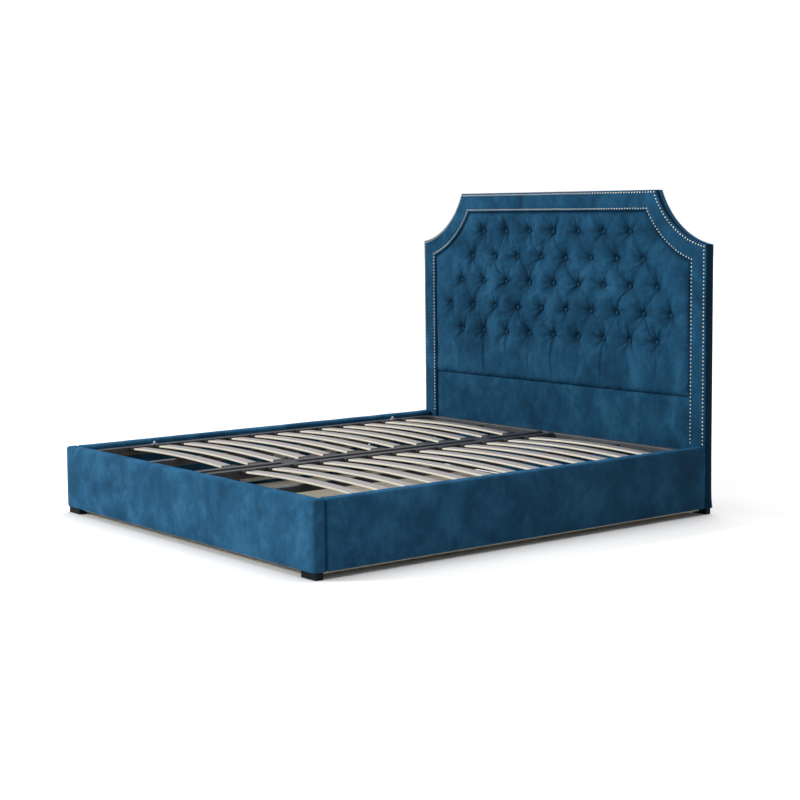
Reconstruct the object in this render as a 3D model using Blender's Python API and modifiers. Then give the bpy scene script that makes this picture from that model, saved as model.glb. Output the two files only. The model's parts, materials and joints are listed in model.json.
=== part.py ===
"""Upholstered storage bed with a tufted, nail-trimmed headboard and a gas-lift slatted platform.

Frame: metres, +Z up, origin on the floor under the middle of the bed.
-Y is the foot end, +Y the headboard, +X the right side seen from the foot.
"""

import math

import bmesh
import bpy
from mathutils import Matrix, Vector

# ---------------------------------------------------------------- driving dimensions
GAP = 0.0003                 # clearance between pieces that touch

HALF_WIDTH = 0.970           # upholstered base, centre to outer face
HALF_LENGTH = 1.060          # centre to the foot face, and to the headboard's back
SKIRT_Z = 0.028              # underside of the upholstery
RAIL_TOP = 0.300
RAIL_THICK = 0.055
FOOT_PANEL_THICK = 0.060
PADDING_OUT = 0.012          # foam and velvet on the outer face
PADDING_IN = 0.008
PADDING_TOP = 0.013
EDGE_ROUND = 0.010
CORNER_ROUND = 0.026

HEADBOARD_HALF = 0.965
HEADBOARD_TOP = 1.410
HEADBOARD_FRONT = 1.0075     # front face of the padded border
ARCH_CENTRE = (1.0246, 1.5570)
ARCH_RADIUS = 0.389          # concave shoulder arc
CORE_INSET = 0.008
CORE_FRONT = 1.0337
CORE_THICK = 0.020
WINDOW_INSET = 0.090         # border width
SEAM_Z = 0.510               # seam between the tufted and the plain panel
PAD_FRONT = 1.0110
NAIL_INSETS = {"nail_trim_outer": 0.010, "nail_trim_inner": 0.081}
NAIL_RADIUS = 0.0048
NAIL_RISE = 0.003
NAIL_LOW_Z = 0.305

TUFT_X = 0.084               # half the spacing of the buttons in a row
TUFT_Z = 0.1225              # spacing of the rows
TUFT_LOW_Z = 0.736           # lowest row
TUFT_COUNTS = (9, 10, 9, 8, 7)
TUFT_DEEP = 0.0130
TUFT_PROUD = 0.0030

FLOOR_BOARD = 0.010
FLOOR_SETBACK = 0.027        # floor board edges behind the foot face and the rails
FOOT_BLOCK = (0.096, 0.035)
FOOT_INSET = (0.0075, 0.012)
LEDGE_TALL = 0.032
LEDGE_WIDE = 0.045

DECK_TOP = 0.278             # top of the lifting platform's tubes
TUBE_TALL = 0.040
TUBE_WIDE = 0.030
TUBE_WALL = 0.002
DECK_HALF_X = 0.905
DECK_FOOT_Y = -0.990
DECK_HEAD_Y = 1.000
DECK_CORNER = 0.090
CENTRE_TUBE_X = 0.040        # centre line of each of the twin middle tubes
MID_TUBE_X = 0.475
MID_TUBE_TALL = 0.030
CENTRE_PLATES_Y = (-0.500, 0.580)

SLAT_COUNT = 13
SLAT_FIRST_Y = -0.7525
SLAT_PITCH = 0.130
SLAT_WIDE = 0.056
SLAT_THICK = 0.008
SLAT_ENDS_X = (0.068, 0.866)
SLAT_END_Z = 0.2655          # underside at the ends
SLAT_BOW = 0.0115

# lift linkage in the Y-Z plane, platform closed
PIVOT_A = (0.0874, 0.1660)   # rear arm on the side plate
PIVOT_B = (-0.1396, 0.0748)  # front arm on the side plate
PIVOT_C = (0.5370, 0.2211)   # rear arm on the platform bracket
PIVOT_D = (0.4330, 0.1611)   # front arm on the platform bracket
STRUT_P = (0.3442, 0.0630)   # gas strut on the side plate
STRUT_Q = (0.6688, 0.2020)   # gas strut on the platform bracket
ARM_THICK = 0.005
PLATE_THICK = 0.004
LAYER_GAP = 0.001
ARM_HALF = 0.012
PIN_RADIUS = 0.005
PIN_PLAY = 0.0006
STUD_RADIUS = 0.004          # studs that carry the gas strut
OPEN_PIVOT_PLAY = 0.0042     # the front arm is open at its upper pivot
OPEN_EYE_PLAY = 0.0022       # and the strut at its upper eye
RAIL_FACE = HALF_WIDTH - RAIL_THICK
BASE_PLATE_X = (RAIL_FACE - GAP - PLATE_THICK, RAIL_FACE - GAP)
REAR_ARM_X = (BASE_PLATE_X[0] - LAYER_GAP - ARM_THICK, BASE_PLATE_X[0] - LAYER_GAP)
FRONT_ARM_X = (REAR_ARM_X[0] - LAYER_GAP - ARM_THICK, REAR_ARM_X[0] - LAYER_GAP)
TOP_PLATE_X = (FRONT_ARM_X[0] - LAYER_GAP - PLATE_THICK, FRONT_ARM_X[0] - LAYER_GAP)
STRUT_RADIUS = 0.011
STRUT_X = TOP_PLATE_X[0] - 0.0025 - STRUT_RADIUS
STRUT_TUBE = (0.016, 0.240)
STRUT_BORE = 0.0085
STRUT_ROD = 0.0045
STRUT_ROD_START = 0.112
EYE_HALF = 0.005
EYE_RADIUS = 0.0105

SIDES = {"left": -1, "right": 1}

# ---------------------------------------------------------------- materials
COLOURS = {
    "velvet": ((0.010, 0.075, 0.135), 0.85, 0.0),
    "timber": ((0.62, 0.47, 0.30), 0.70, 0.0),
    "floor_board": ((0.66, 0.63, 0.52), 0.65, 0.0),
    "backing_cloth": ((0.03, 0.03, 0.035), 0.95, 0.0),
    "nail_metal": ((0.62, 0.56, 0.44), 0.30, 1.0),
    "foot_block": ((0.012, 0.012, 0.012), 0.55, 0.0),
    "frame_steel": ((0.050, 0.055, 0.065), 0.45, 0.6),
    "bracket_steel": ((0.55, 0.56, 0.58), 0.35, 1.0),
    "slat_birch": ((0.72, 0.71, 0.74), 0.50, 0.0),
    "strut_black": ((0.02, 0.02, 0.022), 0.35, 0.5),
    "rod_chrome": ((0.75, 0.76, 0.78), 0.12, 1.0),
}


def make_material(name):
    colour, roughness, metallic = COLOURS[name]
    material = bpy.data.materials.new(name)
    material.use_nodes = True
    shader = material.node_tree.nodes["Principled BSDF"]
    shader.inputs["Base Color"].default_value = (*colour, 1.0)
    shader.inputs["Roughness"].default_value = roughness
    shader.inputs["Metallic"].default_value = metallic
    material.diffuse_color = (*colour, 1.0)
    return material


# ---------------------------------------------------------------- scene helpers
def clear_scene():
    for obj in list(bpy.data.objects):
        bpy.data.objects.remove(obj, do_unlink=True)


def add_object(name, data, material, parent=None):
    """Link a new object to the bed's collection; its mesh is already in its parent's space."""
    obj = bpy.data.objects.new(name, data)
    BED.objects.link(obj)
    if material:
        data.materials.append(MATERIALS[material])
    if parent:
        obj.parent = parent
    return obj


def add_empty(name, location, parent=None):
    """Pivot of a moving group; children are modelled relative to it."""
    empty = bpy.data.objects.new(name, None)
    empty.empty_display_size = 0.05
    empty.location = location
    empty.parent = parent
    BED.objects.link(empty)
    return empty


def to_mesh(bm, name):
    mesh = bpy.data.meshes.new(name)
    bmesh.ops.recalc_face_normals(bm, faces=bm.faces)
    bm.to_mesh(mesh)
    bm.free()
    return mesh


def add_box(bm, low, high):
    """Add an axis-aligned box between two corners and return its vertices."""
    low, high = Vector(low), Vector(high)
    size = high - low
    place = Matrix.Translation((low + high) / 2) @ Matrix.Diagonal((*size, 1.0))
    return bmesh.ops.create_cube(bm, size=1.0, matrix=place)["verts"]


def add_rod(bm, start, end, radius, sides=16, end_radius=None):
    """Add a closed cylinder, or a cone frustum, between two points."""
    start, end = Vector(start), Vector(end)
    along = end - start
    turn = along.to_track_quat("Z", "Y").to_matrix().to_4x4()
    place = Matrix.Translation((start + end) / 2) @ turn
    tip = radius if end_radius is None else end_radius
    bmesh.ops.create_cone(bm, cap_ends=True, segments=sides, radius1=radius, radius2=tip,
                          depth=along.length, matrix=place)


def bevel_edges(bm, chosen, width, segments):
    edges = [edge for edge in bm.edges if chosen(edge)]
    bmesh.ops.bevel(bm, geom=edges, offset=width, segments=segments, profile=0.5, affect="EDGES")


def add_cutter(name, mesh):
    obj = bpy.data.objects.new(name, mesh)
    obj.hide_render = True
    obj.display_type = "WIRE"
    CUTTERS.objects.link(obj)
    return obj


def cut(obj, cutter, operation="DIFFERENCE"):
    modifier = obj.modifiers.new("cut", "BOOLEAN")
    modifier.operation = operation
    modifier.object = cutter
    modifier.solver = "EXACT"


def shade(obj, degrees=35):
    obj.data.shade_smooth()
    obj.data.set_sharp_from_angle(angle=math.radians(degrees))


def circle_points(centre, radius, count):
    """Points round a circle, anticlockwise."""
    step = 2 * math.pi / count
    return [(centre[0] + radius * math.cos(step * i), centre[1] + radius * math.sin(step * i))
            for i in range(count)]


def arc_points(centre, radius, start, end, count):
    """Points along an arc from the start angle to the end angle, both in degrees."""
    points = []
    for i in range(count + 1):
        angle = math.radians(start + (end - start) * i / count)
        points.append((centre[0] + radius * math.cos(angle), centre[1] + radius * math.sin(angle)))
    return points


def flat_mesh(name, outlines, thickness, turn):
    """A plate of the given outlines (the later ones are holes), centred on its mid-plane."""
    curve = bpy.data.curves.new(name, "CURVE")
    curve.dimensions = "2D"
    curve.fill_mode = "BOTH"
    curve.extrude = thickness / 2
    for outline in outlines:
        spline = curve.splines.new("POLY")
        spline.points.add(len(outline) - 1)
        for point, (x, y) in zip(spline.points, outline):
            point.co = (x, y, 0.0, 1.0)
        spline.use_cyclic_u = True
    holder = bpy.data.objects.new(name, curve)
    bpy.context.scene.collection.objects.link(holder)
    graph = bpy.context.evaluated_depsgraph_get()
    mesh = bpy.data.meshes.new_from_object(holder.evaluated_get(graph))
    bpy.data.objects.remove(holder)
    bm = bmesh.new()
    bm.from_mesh(mesh)
    bmesh.ops.remove_doubles(bm, verts=bm.verts, dist=0.00001)
    bmesh.ops.transform(bm, matrix=turn, verts=bm.verts)
    bmesh.ops.recalc_face_normals(bm, faces=bm.faces)
    bm.to_mesh(mesh)
    bm.free()
    return mesh


UPRIGHT = Matrix.Rotation(math.radians(90), 4, "X")
SIDEWAYS = Matrix(((0, 0, 1, 0), (1, 0, 0, 0), (0, 1, 0, 0), (0, 0, 0, 1)))


def upright_plate(name, outlines, front_y, back_y):
    """A plate in the X-Z plane between two values of Y."""
    place = Matrix.Translation((0, (front_y + back_y) / 2, 0)) @ UPRIGHT
    return flat_mesh(name, outlines, back_y - front_y, place)


def side_plate(name, outlines, x_range, origin=(0.0, 0.0)):
    """A plate in the Y-Z plane between two values of X, seen from an origin in Y and Z."""
    place = Matrix.Translation((sum(x_range) / 2, -origin[0], -origin[1])) @ SIDEWAYS
    return flat_mesh(name, outlines, abs(x_range[1] - x_range[0]), place)


def mirrored(x_range, sign):
    """An X range on the right side, taken to the side that sign names."""
    return tuple(sorted((x_range[0] * sign, x_range[1] * sign)))


# ---------------------------------------------------------------- headboard
def arch_half(inset, low_z, steps=8):
    """Right half of the headboard's outline, from the bottom up, set in from its edge."""
    radius = ARCH_RADIUS + inset
    side = HEADBOARD_HALF - inset
    top = HEADBOARD_TOP - inset
    shoulder = math.degrees(math.atan2(-math.sqrt(radius**2 - (side - ARCH_CENTRE[0])**2),
                                       side - ARCH_CENTRE[0]))
    crown = math.degrees(math.atan2(top - ARCH_CENTRE[1],
                                    -math.sqrt(radius**2 - (top - ARCH_CENTRE[1])**2)))
    return [(side, low_z)] + arc_points(ARCH_CENTRE, radius, shoulder, crown, steps)


def arch_outline(inset, low_z):
    """Whole headboard outline, closed along the bottom."""
    half = arch_half(inset, low_z)
    return half + [(-x, z) for x, z in reversed(half)]


def build_headboard_boards():
    core_back = CORE_FRONT + CORE_THICK
    mesh = upright_plate("headboard_core", [arch_outline(CORE_INSET + GAP, SKIRT_Z + 0.002)],
                         CORE_FRONT + GAP, core_back)
    add_object("headboard_core", mesh, "timber")
    mesh = upright_plate("headboard_back_lining", [arch_outline(CORE_INSET + GAP, SKIRT_Z + 0.002)],
                         core_back + GAP, core_back + 0.003)
    add_object("headboard_back_lining", mesh, "backing_cloth")


def build_headboard_border():
    """Padded border: an arch that wraps round the edge of the board to its back."""
    outer = arch_half(0.0, SKIRT_Z)
    inner = arch_half(WINDOW_INSET, SKIRT_Z)
    ring = outer + [(-x, z) for x, z in reversed(outer)] + [(-x, z) for x, z in inner] + inner[::-1]
    border = add_object("headboard_border",
                        upright_plate("headboard_border", [ring], HEADBOARD_FRONT, HALF_LENGTH),
                        "velvet")
    pocket = upright_plate("board_pocket", [arch_outline(CORE_INSET, SKIRT_Z - 0.02)],
                           CORE_FRONT, HALF_LENGTH + 0.01)
    cut(border, add_cutter("board_pocket", pocket))


def tuft_buttons():
    """Places of the buttons, row by row from the lowest, as X and Z."""
    places = []
    for row, count in enumerate(TUFT_COUNTS):
        for i in range(count):
            places.append(((2 * i - count + 1) * TUFT_X, TUFT_LOW_Z + row * TUFT_Z))
    return places


def build_tufted_pad():
    """Upper pad: a grid with a dimple at every button and a peak between them."""
    columns = 22
    rows = 8
    low_z = TUFT_LOW_Z - 2 * TUFT_Z
    buttons = {(round(x / TUFT_X), round((z - low_z) / TUFT_Z)) for x, z in tuft_buttons()}
    bm = bmesh.new()
    place = Matrix.Translation((0, PAD_FRONT, low_z + rows * TUFT_Z / 2)) @ UPRIGHT
    place = place @ Matrix.Diagonal((columns * TUFT_X / 2, rows * TUFT_Z / 2, 1.0, 1.0))
    bmesh.ops.create_grid(bm, x_segments=columns, y_segments=rows, size=1.0, matrix=place)
    dimples = {}
    for vertex in bm.verts:
        cell = (round(vertex.co.x / TUFT_X), round((vertex.co.z - low_z) / TUFT_Z))
        near = any((cell[0] + dx, cell[1] + dz) in buttons
                   for dx, dz in ((1, 0), (-1, 0), (0, 1), (0, -1)))
        if cell in buttons:
            vertex.co.y += TUFT_DEEP
            dimples[vertex] = True
        elif near:
            vertex.co.y -= TUFT_PROUD
    for face in list(bm.faces):
        corners = list(face.verts)
        first = 0 if (corners[0] in dimples or corners[2] in dimples) else 1
        bmesh.utils.face_split(face, corners[first], corners[first + 2])
    front = list(bm.faces)
    back = bmesh.ops.extrude_face_region(bm, geom=front)
    for item in back["geom"]:
        if isinstance(item, bmesh.types.BMVert):
            item.co.y = CORE_FRONT
    bmesh.ops.recalc_face_normals(bm, faces=bm.faces)
    pad = add_object("headboard_tufted_pad", to_mesh(bm, "headboard_tufted_pad"), "velvet")
    trim = upright_plate("pad_outline", [arch_outline(WINDOW_INSET + GAP, SEAM_Z + GAP)],
                         HEADBOARD_FRONT - 0.01, CORE_FRONT)
    cut(pad, add_cutter("pad_outline", trim), "INTERSECT")


def build_lower_pad():
    half = HEADBOARD_HALF - WINDOW_INSET - GAP
    bm = bmesh.new()
    add_box(bm, (-half, PAD_FRONT - 0.001, SKIRT_Z + 0.002), (half, CORE_FRONT, SEAM_Z))
    bevel_edges(bm, lambda e: all(v.co.z > SEAM_Z - 0.001 and v.co.y < PAD_FRONT for v in e.verts),
                0.005, 2)
    add_object("headboard_lower_pad", to_mesh(bm, "headboard_lower_pad"), "velvet")


def build_nail_trims():
    """Two bands of nail heads: the outer one at the headboard's edge, the inner one at the window."""
    base = HEADBOARD_FRONT - GAP
    for name, inset in NAIL_INSETS.items():
        outer = arch_half(inset - NAIL_RADIUS, NAIL_LOW_Z)
        inner = arch_half(inset + NAIL_RADIUS, NAIL_LOW_Z)
        band = (outer + [(-x, z) for x, z in reversed(outer)] + [(-x, z) for x, z in inner]
                + inner[::-1])
        add_object(name, upright_plate(name, [band], base - NAIL_RISE, base), "nail_metal")


# ---------------------------------------------------------------- base box
def build_padded_rail(name, low, high, core_low, core_high, rounded):
    """A board and the padded velvet sleeve over it; the sleeve is open underneath."""
    bm = bmesh.new()
    add_box(bm, low, high)
    if rounded:
        bevel_edges(bm, lambda e: all(abs(v.co.y - low[1]) < 1e-5 for v in e.verts)
                    and abs(e.verts[0].co.z - e.verts[1].co.z) > 0.1, CORNER_ROUND, 5)
    bevel_edges(bm, lambda e: all(v.co.z > high[2] - 1e-5 for v in e.verts), EDGE_ROUND, 3)
    sleeve = add_object(name + "_cover", to_mesh(bm, name + "_cover"), "velvet")
    bm = bmesh.new()
    add_box(bm, (core_low[0], core_low[1], low[2] - 0.02), core_high)
    cut(sleeve, add_cutter(name + "_cavity", to_mesh(bm, name + "_cavity")))
    shade(sleeve)
    bm = bmesh.new()
    inside = Vector((GAP, GAP, GAP))
    add_box(bm, Vector((core_low[0], core_low[1], low[2] + 0.001)) + inside,
            Vector(core_high) - inside)
    add_object(name + "_core", to_mesh(bm, name + "_core"), "timber")


def build_base_panels():
    face = -HALF_LENGTH
    inner = face + FOOT_PANEL_THICK
    build_padded_rail("foot_panel", (-HALF_WIDTH, face, SKIRT_Z), (HALF_WIDTH, inner, RAIL_TOP),
                      (-HALF_WIDTH + 0.020, face + PADDING_OUT, SKIRT_Z),
                      (HALF_WIDTH - 0.020, inner - PADDING_IN, RAIL_TOP - PADDING_TOP), True)
    start = inner + 0.0025
    end = HEADBOARD_FRONT - GAP
    for side, sign in SIDES.items():
        outer_x = mirrored((RAIL_FACE, HALF_WIDTH), sign)
        core_x = mirrored((RAIL_FACE + PADDING_IN, HALF_WIDTH - PADDING_OUT), sign)
        build_padded_rail("side_rail_" + side, (outer_x[0], start, SKIRT_Z),
                          (outer_x[1], end, RAIL_TOP), (core_x[0], start + 0.004, SKIRT_Z),
                          (core_x[1], end - 0.003, RAIL_TOP - PADDING_TOP), False)


def build_feet():
    """Low blocks: two under the foot panel and two, shallower, under the headboard."""
    front = -HALF_LENGTH + FOOT_INSET[1]
    back = HALF_LENGTH - 0.003
    for side, sign in SIDES.items():
        edge = HALF_WIDTH - FOOT_INSET[0]
        x = mirrored((edge - FOOT_BLOCK[0], edge), sign)
        for name, y in (("foot_front_", (front, front + FOOT_BLOCK[1])),
                        ("foot_rear_", (back - 0.028, back))):
            bm = bmesh.new()
            add_box(bm, (x[0], y[0], 0.0), (x[1], y[1], SKIRT_Z - GAP))
            bevel_edges(bm, lambda e: abs(e.verts[0].co.z - e.verts[1].co.z) > 0.01, 0.002, 1)
            add_object(name + side, to_mesh(bm, name + side), "foot_block")


def build_storage_floor():
    """Two floor boards that meet on the centre line, notched round the feet, and their runner."""
    top = SKIRT_Z - GAP
    front = -HALF_LENGTH + FLOOR_SETBACK
    end = HEADBOARD_FRONT - 0.004
    edge = HALF_WIDTH - FLOOR_SETBACK
    notch_x = HALF_WIDTH - FOOT_INSET[0] - FOOT_BLOCK[0] - 0.002
    notch_y = -HALF_LENGTH + FOOT_INSET[1] + FOOT_BLOCK[1] + 0.002
    for side, sign in SIDES.items():
        outline = [(GAP * 2, front), (notch_x, front), (notch_x, notch_y), (edge, notch_y),
                   (edge, end), (GAP * 2, end)]
        place = Matrix.Translation((0, 0, top - FLOOR_BOARD / 2))
        mesh = flat_mesh("storage_floor_" + side, [[(x * sign, y) for x, y in outline]],
                         FLOOR_BOARD, place)
        add_object("storage_floor_" + side, mesh, "floor_board")
    bm = bmesh.new()
    add_box(bm, (-0.045, -0.960, 0.0), (0.045, 0.960, top - FLOOR_BOARD - GAP))
    add_object("floor_runner", to_mesh(bm, "floor_runner"), "timber")


def build_rest_ledge():
    """Batten inside the foot panel that the closed platform comes to rest on."""
    top = DECK_TOP - TUBE_TALL - GAP
    inner = -HALF_LENGTH + FOOT_PANEL_THICK + GAP
    bm = bmesh.new()
    add_box(bm, (-0.700, inner, top - LEDGE_TALL), (0.700, inner + LEDGE_WIDE, top))
    add_object("rest_ledge_foot", to_mesh(bm, "rest_ledge_foot"), "timber")


# ---------------------------------------------------------------- lifting platform
def rounded_rectangle(low, high, radius, steps=5):
    centres = ((high[0] - radius, high[1] - radius), (low[0] + radius, high[1] - radius),
               (low[0] + radius, low[1] + radius), (high[0] - radius, low[1] + radius))
    points = []
    for i, centre in enumerate(centres):
        points += arc_points(centre, radius, 90 * i, 90 * i + 90, steps)
    return points


def ring_outlines(shrink):
    """Outer and inner edges of the perimeter tube, each moved into the tube by shrink."""
    outer = rounded_rectangle((-DECK_HALF_X + shrink, DECK_FOOT_Y + shrink),
                              (DECK_HALF_X - shrink, DECK_HEAD_Y - shrink), DECK_CORNER - shrink)
    width = TUBE_WIDE - shrink
    inner = rounded_rectangle((-DECK_HALF_X + width, DECK_FOOT_Y + width),
                              (DECK_HALF_X - width, DECK_HEAD_Y - width), DECK_CORNER - width)
    return [outer, inner]


def frame_tool(name, bm, parent):
    """A cutter or a piece to be welded on, moved into the platform's own space."""
    bmesh.ops.transform(bm, matrix=Matrix.Translation(-parent.location), verts=bm.verts)
    tool = add_cutter(name, to_mesh(bm, name))
    tool.parent = parent
    return tool


def long_tubes():
    """Centre line X, height and top of the four tubes that run from foot to head."""
    tubes = []
    for sign in SIDES.values():
        tubes.append((CENTRE_TUBE_X * sign, TUBE_TALL, DECK_TOP))
        tubes.append((MID_TUBE_X * sign, MID_TUBE_TALL, DECK_TOP - TUBE_TALL + MID_TUBE_TALL))
    return tubes


def build_frame(parent):
    """Welded platform frame: bent perimeter tube, four long tubes and two tie plates, all hollow
    inside as one connected space with a drain slot underneath at the foot end."""
    place = Matrix.Translation(-parent.location) @ Matrix.Translation((0, 0, DECK_TOP - TUBE_TALL / 2))
    frame = add_object("platform_frame", flat_mesh("platform_frame", ring_outlines(0.0), TUBE_TALL,
                                                   place), "frame_steel", parent)
    start = DECK_FOOT_Y + TUBE_WIDE - TUBE_WALL / 2
    end = DECK_HEAD_Y - TUBE_WIDE + TUBE_WALL / 2
    half = TUBE_WIDE / 2
    for i, (x, tall, top) in enumerate(long_tubes()):
        bm = bmesh.new()
        add_box(bm, (x - half, start, top - tall), (x + half, end, top))
        cut(frame, frame_tool(f"long_tube_{i}", bm, parent), "UNION")
    for i, y in enumerate(CENTRE_PLATES_Y):
        bm = bmesh.new()
        add_box(bm, (-CENTRE_TUBE_X, y - 0.035, DECK_TOP - 0.007), (CENTRE_TUBE_X, y + 0.035, DECK_TOP - 0.001))
        cut(frame, frame_tool(f"tie_plate_{i}", bm, parent), "UNION")
    ring = add_cutter("ring_hollow", flat_mesh("ring_hollow", ring_outlines(TUBE_WALL),
                                               TUBE_TALL - 2 * TUBE_WALL, place))
    ring.parent = parent
    cut(frame, ring)
    inner = half - TUBE_WALL
    for i, (x, tall, top) in enumerate(long_tubes()):
        bm = bmesh.new()
        add_box(bm, (x - inner, start - 0.006, top - tall + TUBE_WALL * 1.5),
                (x + inner, end + 0.006, top - TUBE_WALL * 1.5))
        cut(frame, frame_tool(f"tube_hollow_{i}", bm, parent))
    bm = bmesh.new()
    middle_y = DECK_FOOT_Y + half
    add_box(bm, (-0.010, middle_y - 0.004, DECK_TOP - TUBE_TALL - 0.01),
            (0.010, middle_y + 0.004, DECK_TOP - TUBE_TALL + TUBE_WALL + 0.005))
    cut(frame, frame_tool("drain_slot", bm, parent))


def add_slat(bm, sign, y):
    """A bowed slat: a flat strip cut across its length and lifted towards its middle."""
    steps = 6
    ends = mirrored(SLAT_ENDS_X, sign)
    made = add_box(bm, (ends[0], y - SLAT_WIDE / 2, SLAT_END_Z),
                   (ends[1], y + SLAT_WIDE / 2, SLAT_END_Z + SLAT_THICK))
    for i in range(1, steps):
        x = ends[0] + (ends[1] - ends[0]) * i / steps
        geometry = [*made, *{e for v in made for e in v.link_edges},
                    *{f for v in made for f in v.link_faces}]
        result = bmesh.ops.bisect_plane(bm, geom=geometry, plane_co=(x, 0, 0), plane_no=(1, 0, 0))
        made += [item for item in result["geom_cut"] if isinstance(item, bmesh.types.BMVert)]
    centre = sum(ends) / 2
    half = (ends[1] - ends[0]) / 2
    for vertex in made:
        vertex.co.z += SLAT_BOW * (1 - ((vertex.co.x - centre) / half) ** 2)


def build_slats(parent):
    shift = Matrix.Translation(-parent.location)
    for side, sign in SIDES.items():
        for row in range(SLAT_COUNT):
            name = f"slat_{side}_{row + 1:02d}"
            bm = bmesh.new()
            add_slat(bm, sign, SLAT_FIRST_Y + row * SLAT_PITCH)
            bmesh.ops.transform(bm, matrix=shift, verts=bm.verts)
            add_object(name, to_mesh(bm, name), "slat_birch", parent)


# ---------------------------------------------------------------- lift mechanism
def link_outline(first, second, half, steps=6):
    """Outline of a straight bar with round ends about two pivots."""
    angle = math.degrees(math.atan2(second[1] - first[1], second[0] - first[0]))
    return (arc_points(second, half, angle - 90, angle + 90, steps)
            + arc_points(first, half, angle + 90, angle + 270, steps))


def weld_rods(obj, name, rods, parent=None):
    """Join round studs, each given by its X ends, place, radius and sides, to a plate."""
    shift = parent.location if parent else Vector((0, 0, 0))
    for i, (x_ends, (y, z), radius, sides) in enumerate(rods):
        bm = bmesh.new()
        add_rod(bm, (x_ends[0] - shift.x, y - shift.y, z - shift.z),
                (x_ends[1] - shift.x, y - shift.y, z - shift.z), radius, sides)
        tool = add_cutter(f"{name}_{i}", to_mesh(bm, f"{name}_{i}"))
        tool.parent = parent
        cut(obj, tool, "UNION")


def build_base_plate(side, sign):
    """Steel plate screwed to the side rail, with the studs of both arms and of the strut."""
    outline = [(-0.172, 0.044), (0.365, 0.044), (0.376, 0.060), (0.362, 0.080), (0.300, 0.090),
               (0.118, 0.184), (0.062, 0.184), (-0.150, 0.098), (-0.172, 0.086)]
    name = "lift_base_plate_" + side
    plate = add_object(name, side_plate(name, [outline], mirrored(BASE_PLATE_X, sign)),
                       "bracket_steel")
    root = BASE_PLATE_X[0] + PLATE_THICK / 2
    rods = [((root * sign, REAR_ARM_X[0] * sign), PIVOT_A, PIN_RADIUS, 16),
            ((root * sign, FRONT_ARM_X[0] * sign), PIVOT_B, PIN_RADIUS, 16),
            ((root * sign, (STRUT_X - EYE_HALF - 0.002) * sign), STRUT_P, STUD_RADIUS, 16)]
    for y in (-0.100, 0.010, 0.120, 0.230):
        rods.append(((root * sign, (BASE_PLATE_X[0] - 0.003) * sign), (y, 0.0520), 0.0055, 8))
    weld_rods(plate, "base_stud_" + side, rods)


def build_arm(name, pivot, far, x_range, far_play, parent):
    """A flat arm, its origin on the pivot it turns about."""
    outlines = [link_outline(pivot, far, ARM_HALF + (0.002 if far_play > 0.001 else 0.0)),
                circle_points(pivot, PIN_RADIUS + PIN_PLAY, 16),
                circle_points(far, PIN_RADIUS + far_play, 16)]
    mesh = side_plate(name, outlines, x_range, pivot)
    add_object(name, mesh, "bracket_steel", parent)


def build_top_bracket(side, sign, parent):
    """Platform bracket: a shaped web with a flange that bolts up under the side tube."""
    under = DECK_TOP - TUBE_TALL - GAP
    web = [(0.396, under), (0.408, 0.158), (0.420, 0.145), (0.447, 0.145), (0.560, 0.182),
           (0.680, 0.184), (0.694, 0.196), (0.722, under)]
    name = "lift_top_bracket_" + side
    pivot = parent.location
    bracket = add_object(name, side_plate(name, [web], mirrored(TOP_PLATE_X, sign),
                                          (pivot.y, pivot.z)), "bracket_steel", parent)
    flange_x = mirrored((TOP_PLATE_X[0] - 0.018, TOP_PLATE_X[1]), sign)
    bm = bmesh.new()
    add_box(bm, (flange_x[0], 0.396, under - PLATE_THICK), (flange_x[1], 0.722, under))
    cut(bracket, frame_tool("flange_" + side, bm, parent), "UNION")
    root = TOP_PLATE_X[0] + PLATE_THICK / 2
    rods = [((root * sign, REAR_ARM_X[1] * sign), PIVOT_C, PIN_RADIUS, 16),
            ((root * sign, FRONT_ARM_X[1] * sign), PIVOT_D, PIN_RADIUS, 16),
            ((root * sign, (STRUT_X - EYE_HALF - 0.002) * sign), STRUT_Q, STUD_RADIUS, 16)]
    weld_rods(bracket, "top_stud_" + side, rods, parent)


def turned(name, profile, material, parent):
    """A shape turned about the local Y axis from points of radius and distance along it."""
    mesh = bpy.data.meshes.new(name)
    bm = bmesh.new()
    corners = [bm.verts.new((radius, along, 0.0)) for radius, along in profile]
    for first, second in zip(corners, corners[1:]):
        bm.edges.new((first, second))
    bm.to_mesh(mesh)
    bm.free()
    obj = add_object(name, mesh, material, parent)
    screw = obj.modifiers.new("turn", "SCREW")
    screw.axis = "Y"
    screw.steps = 14
    screw.render_steps = 14
    screw.use_merge_vertices = True
    screw.merge_threshold = 0.0001
    screw.use_normal_calculate = True
    return obj


def add_eye(obj, name, along, play, parent):
    """Join a flat round eye to a turned piece, with its hole on the X axis."""
    for label, radius, operation, half in (("eye", EYE_RADIUS, "UNION", EYE_HALF),
                                           ("hole", STUD_RADIUS + play, "DIFFERENCE", 0.02)):
        bm = bmesh.new()
        add_rod(bm, (-half, along, 0), (half, along, 0), radius, 16)
        tool = add_cutter(name + "_" + label, to_mesh(bm, name + "_" + label))
        tool.parent = parent
        cut(obj, tool, operation)


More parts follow.
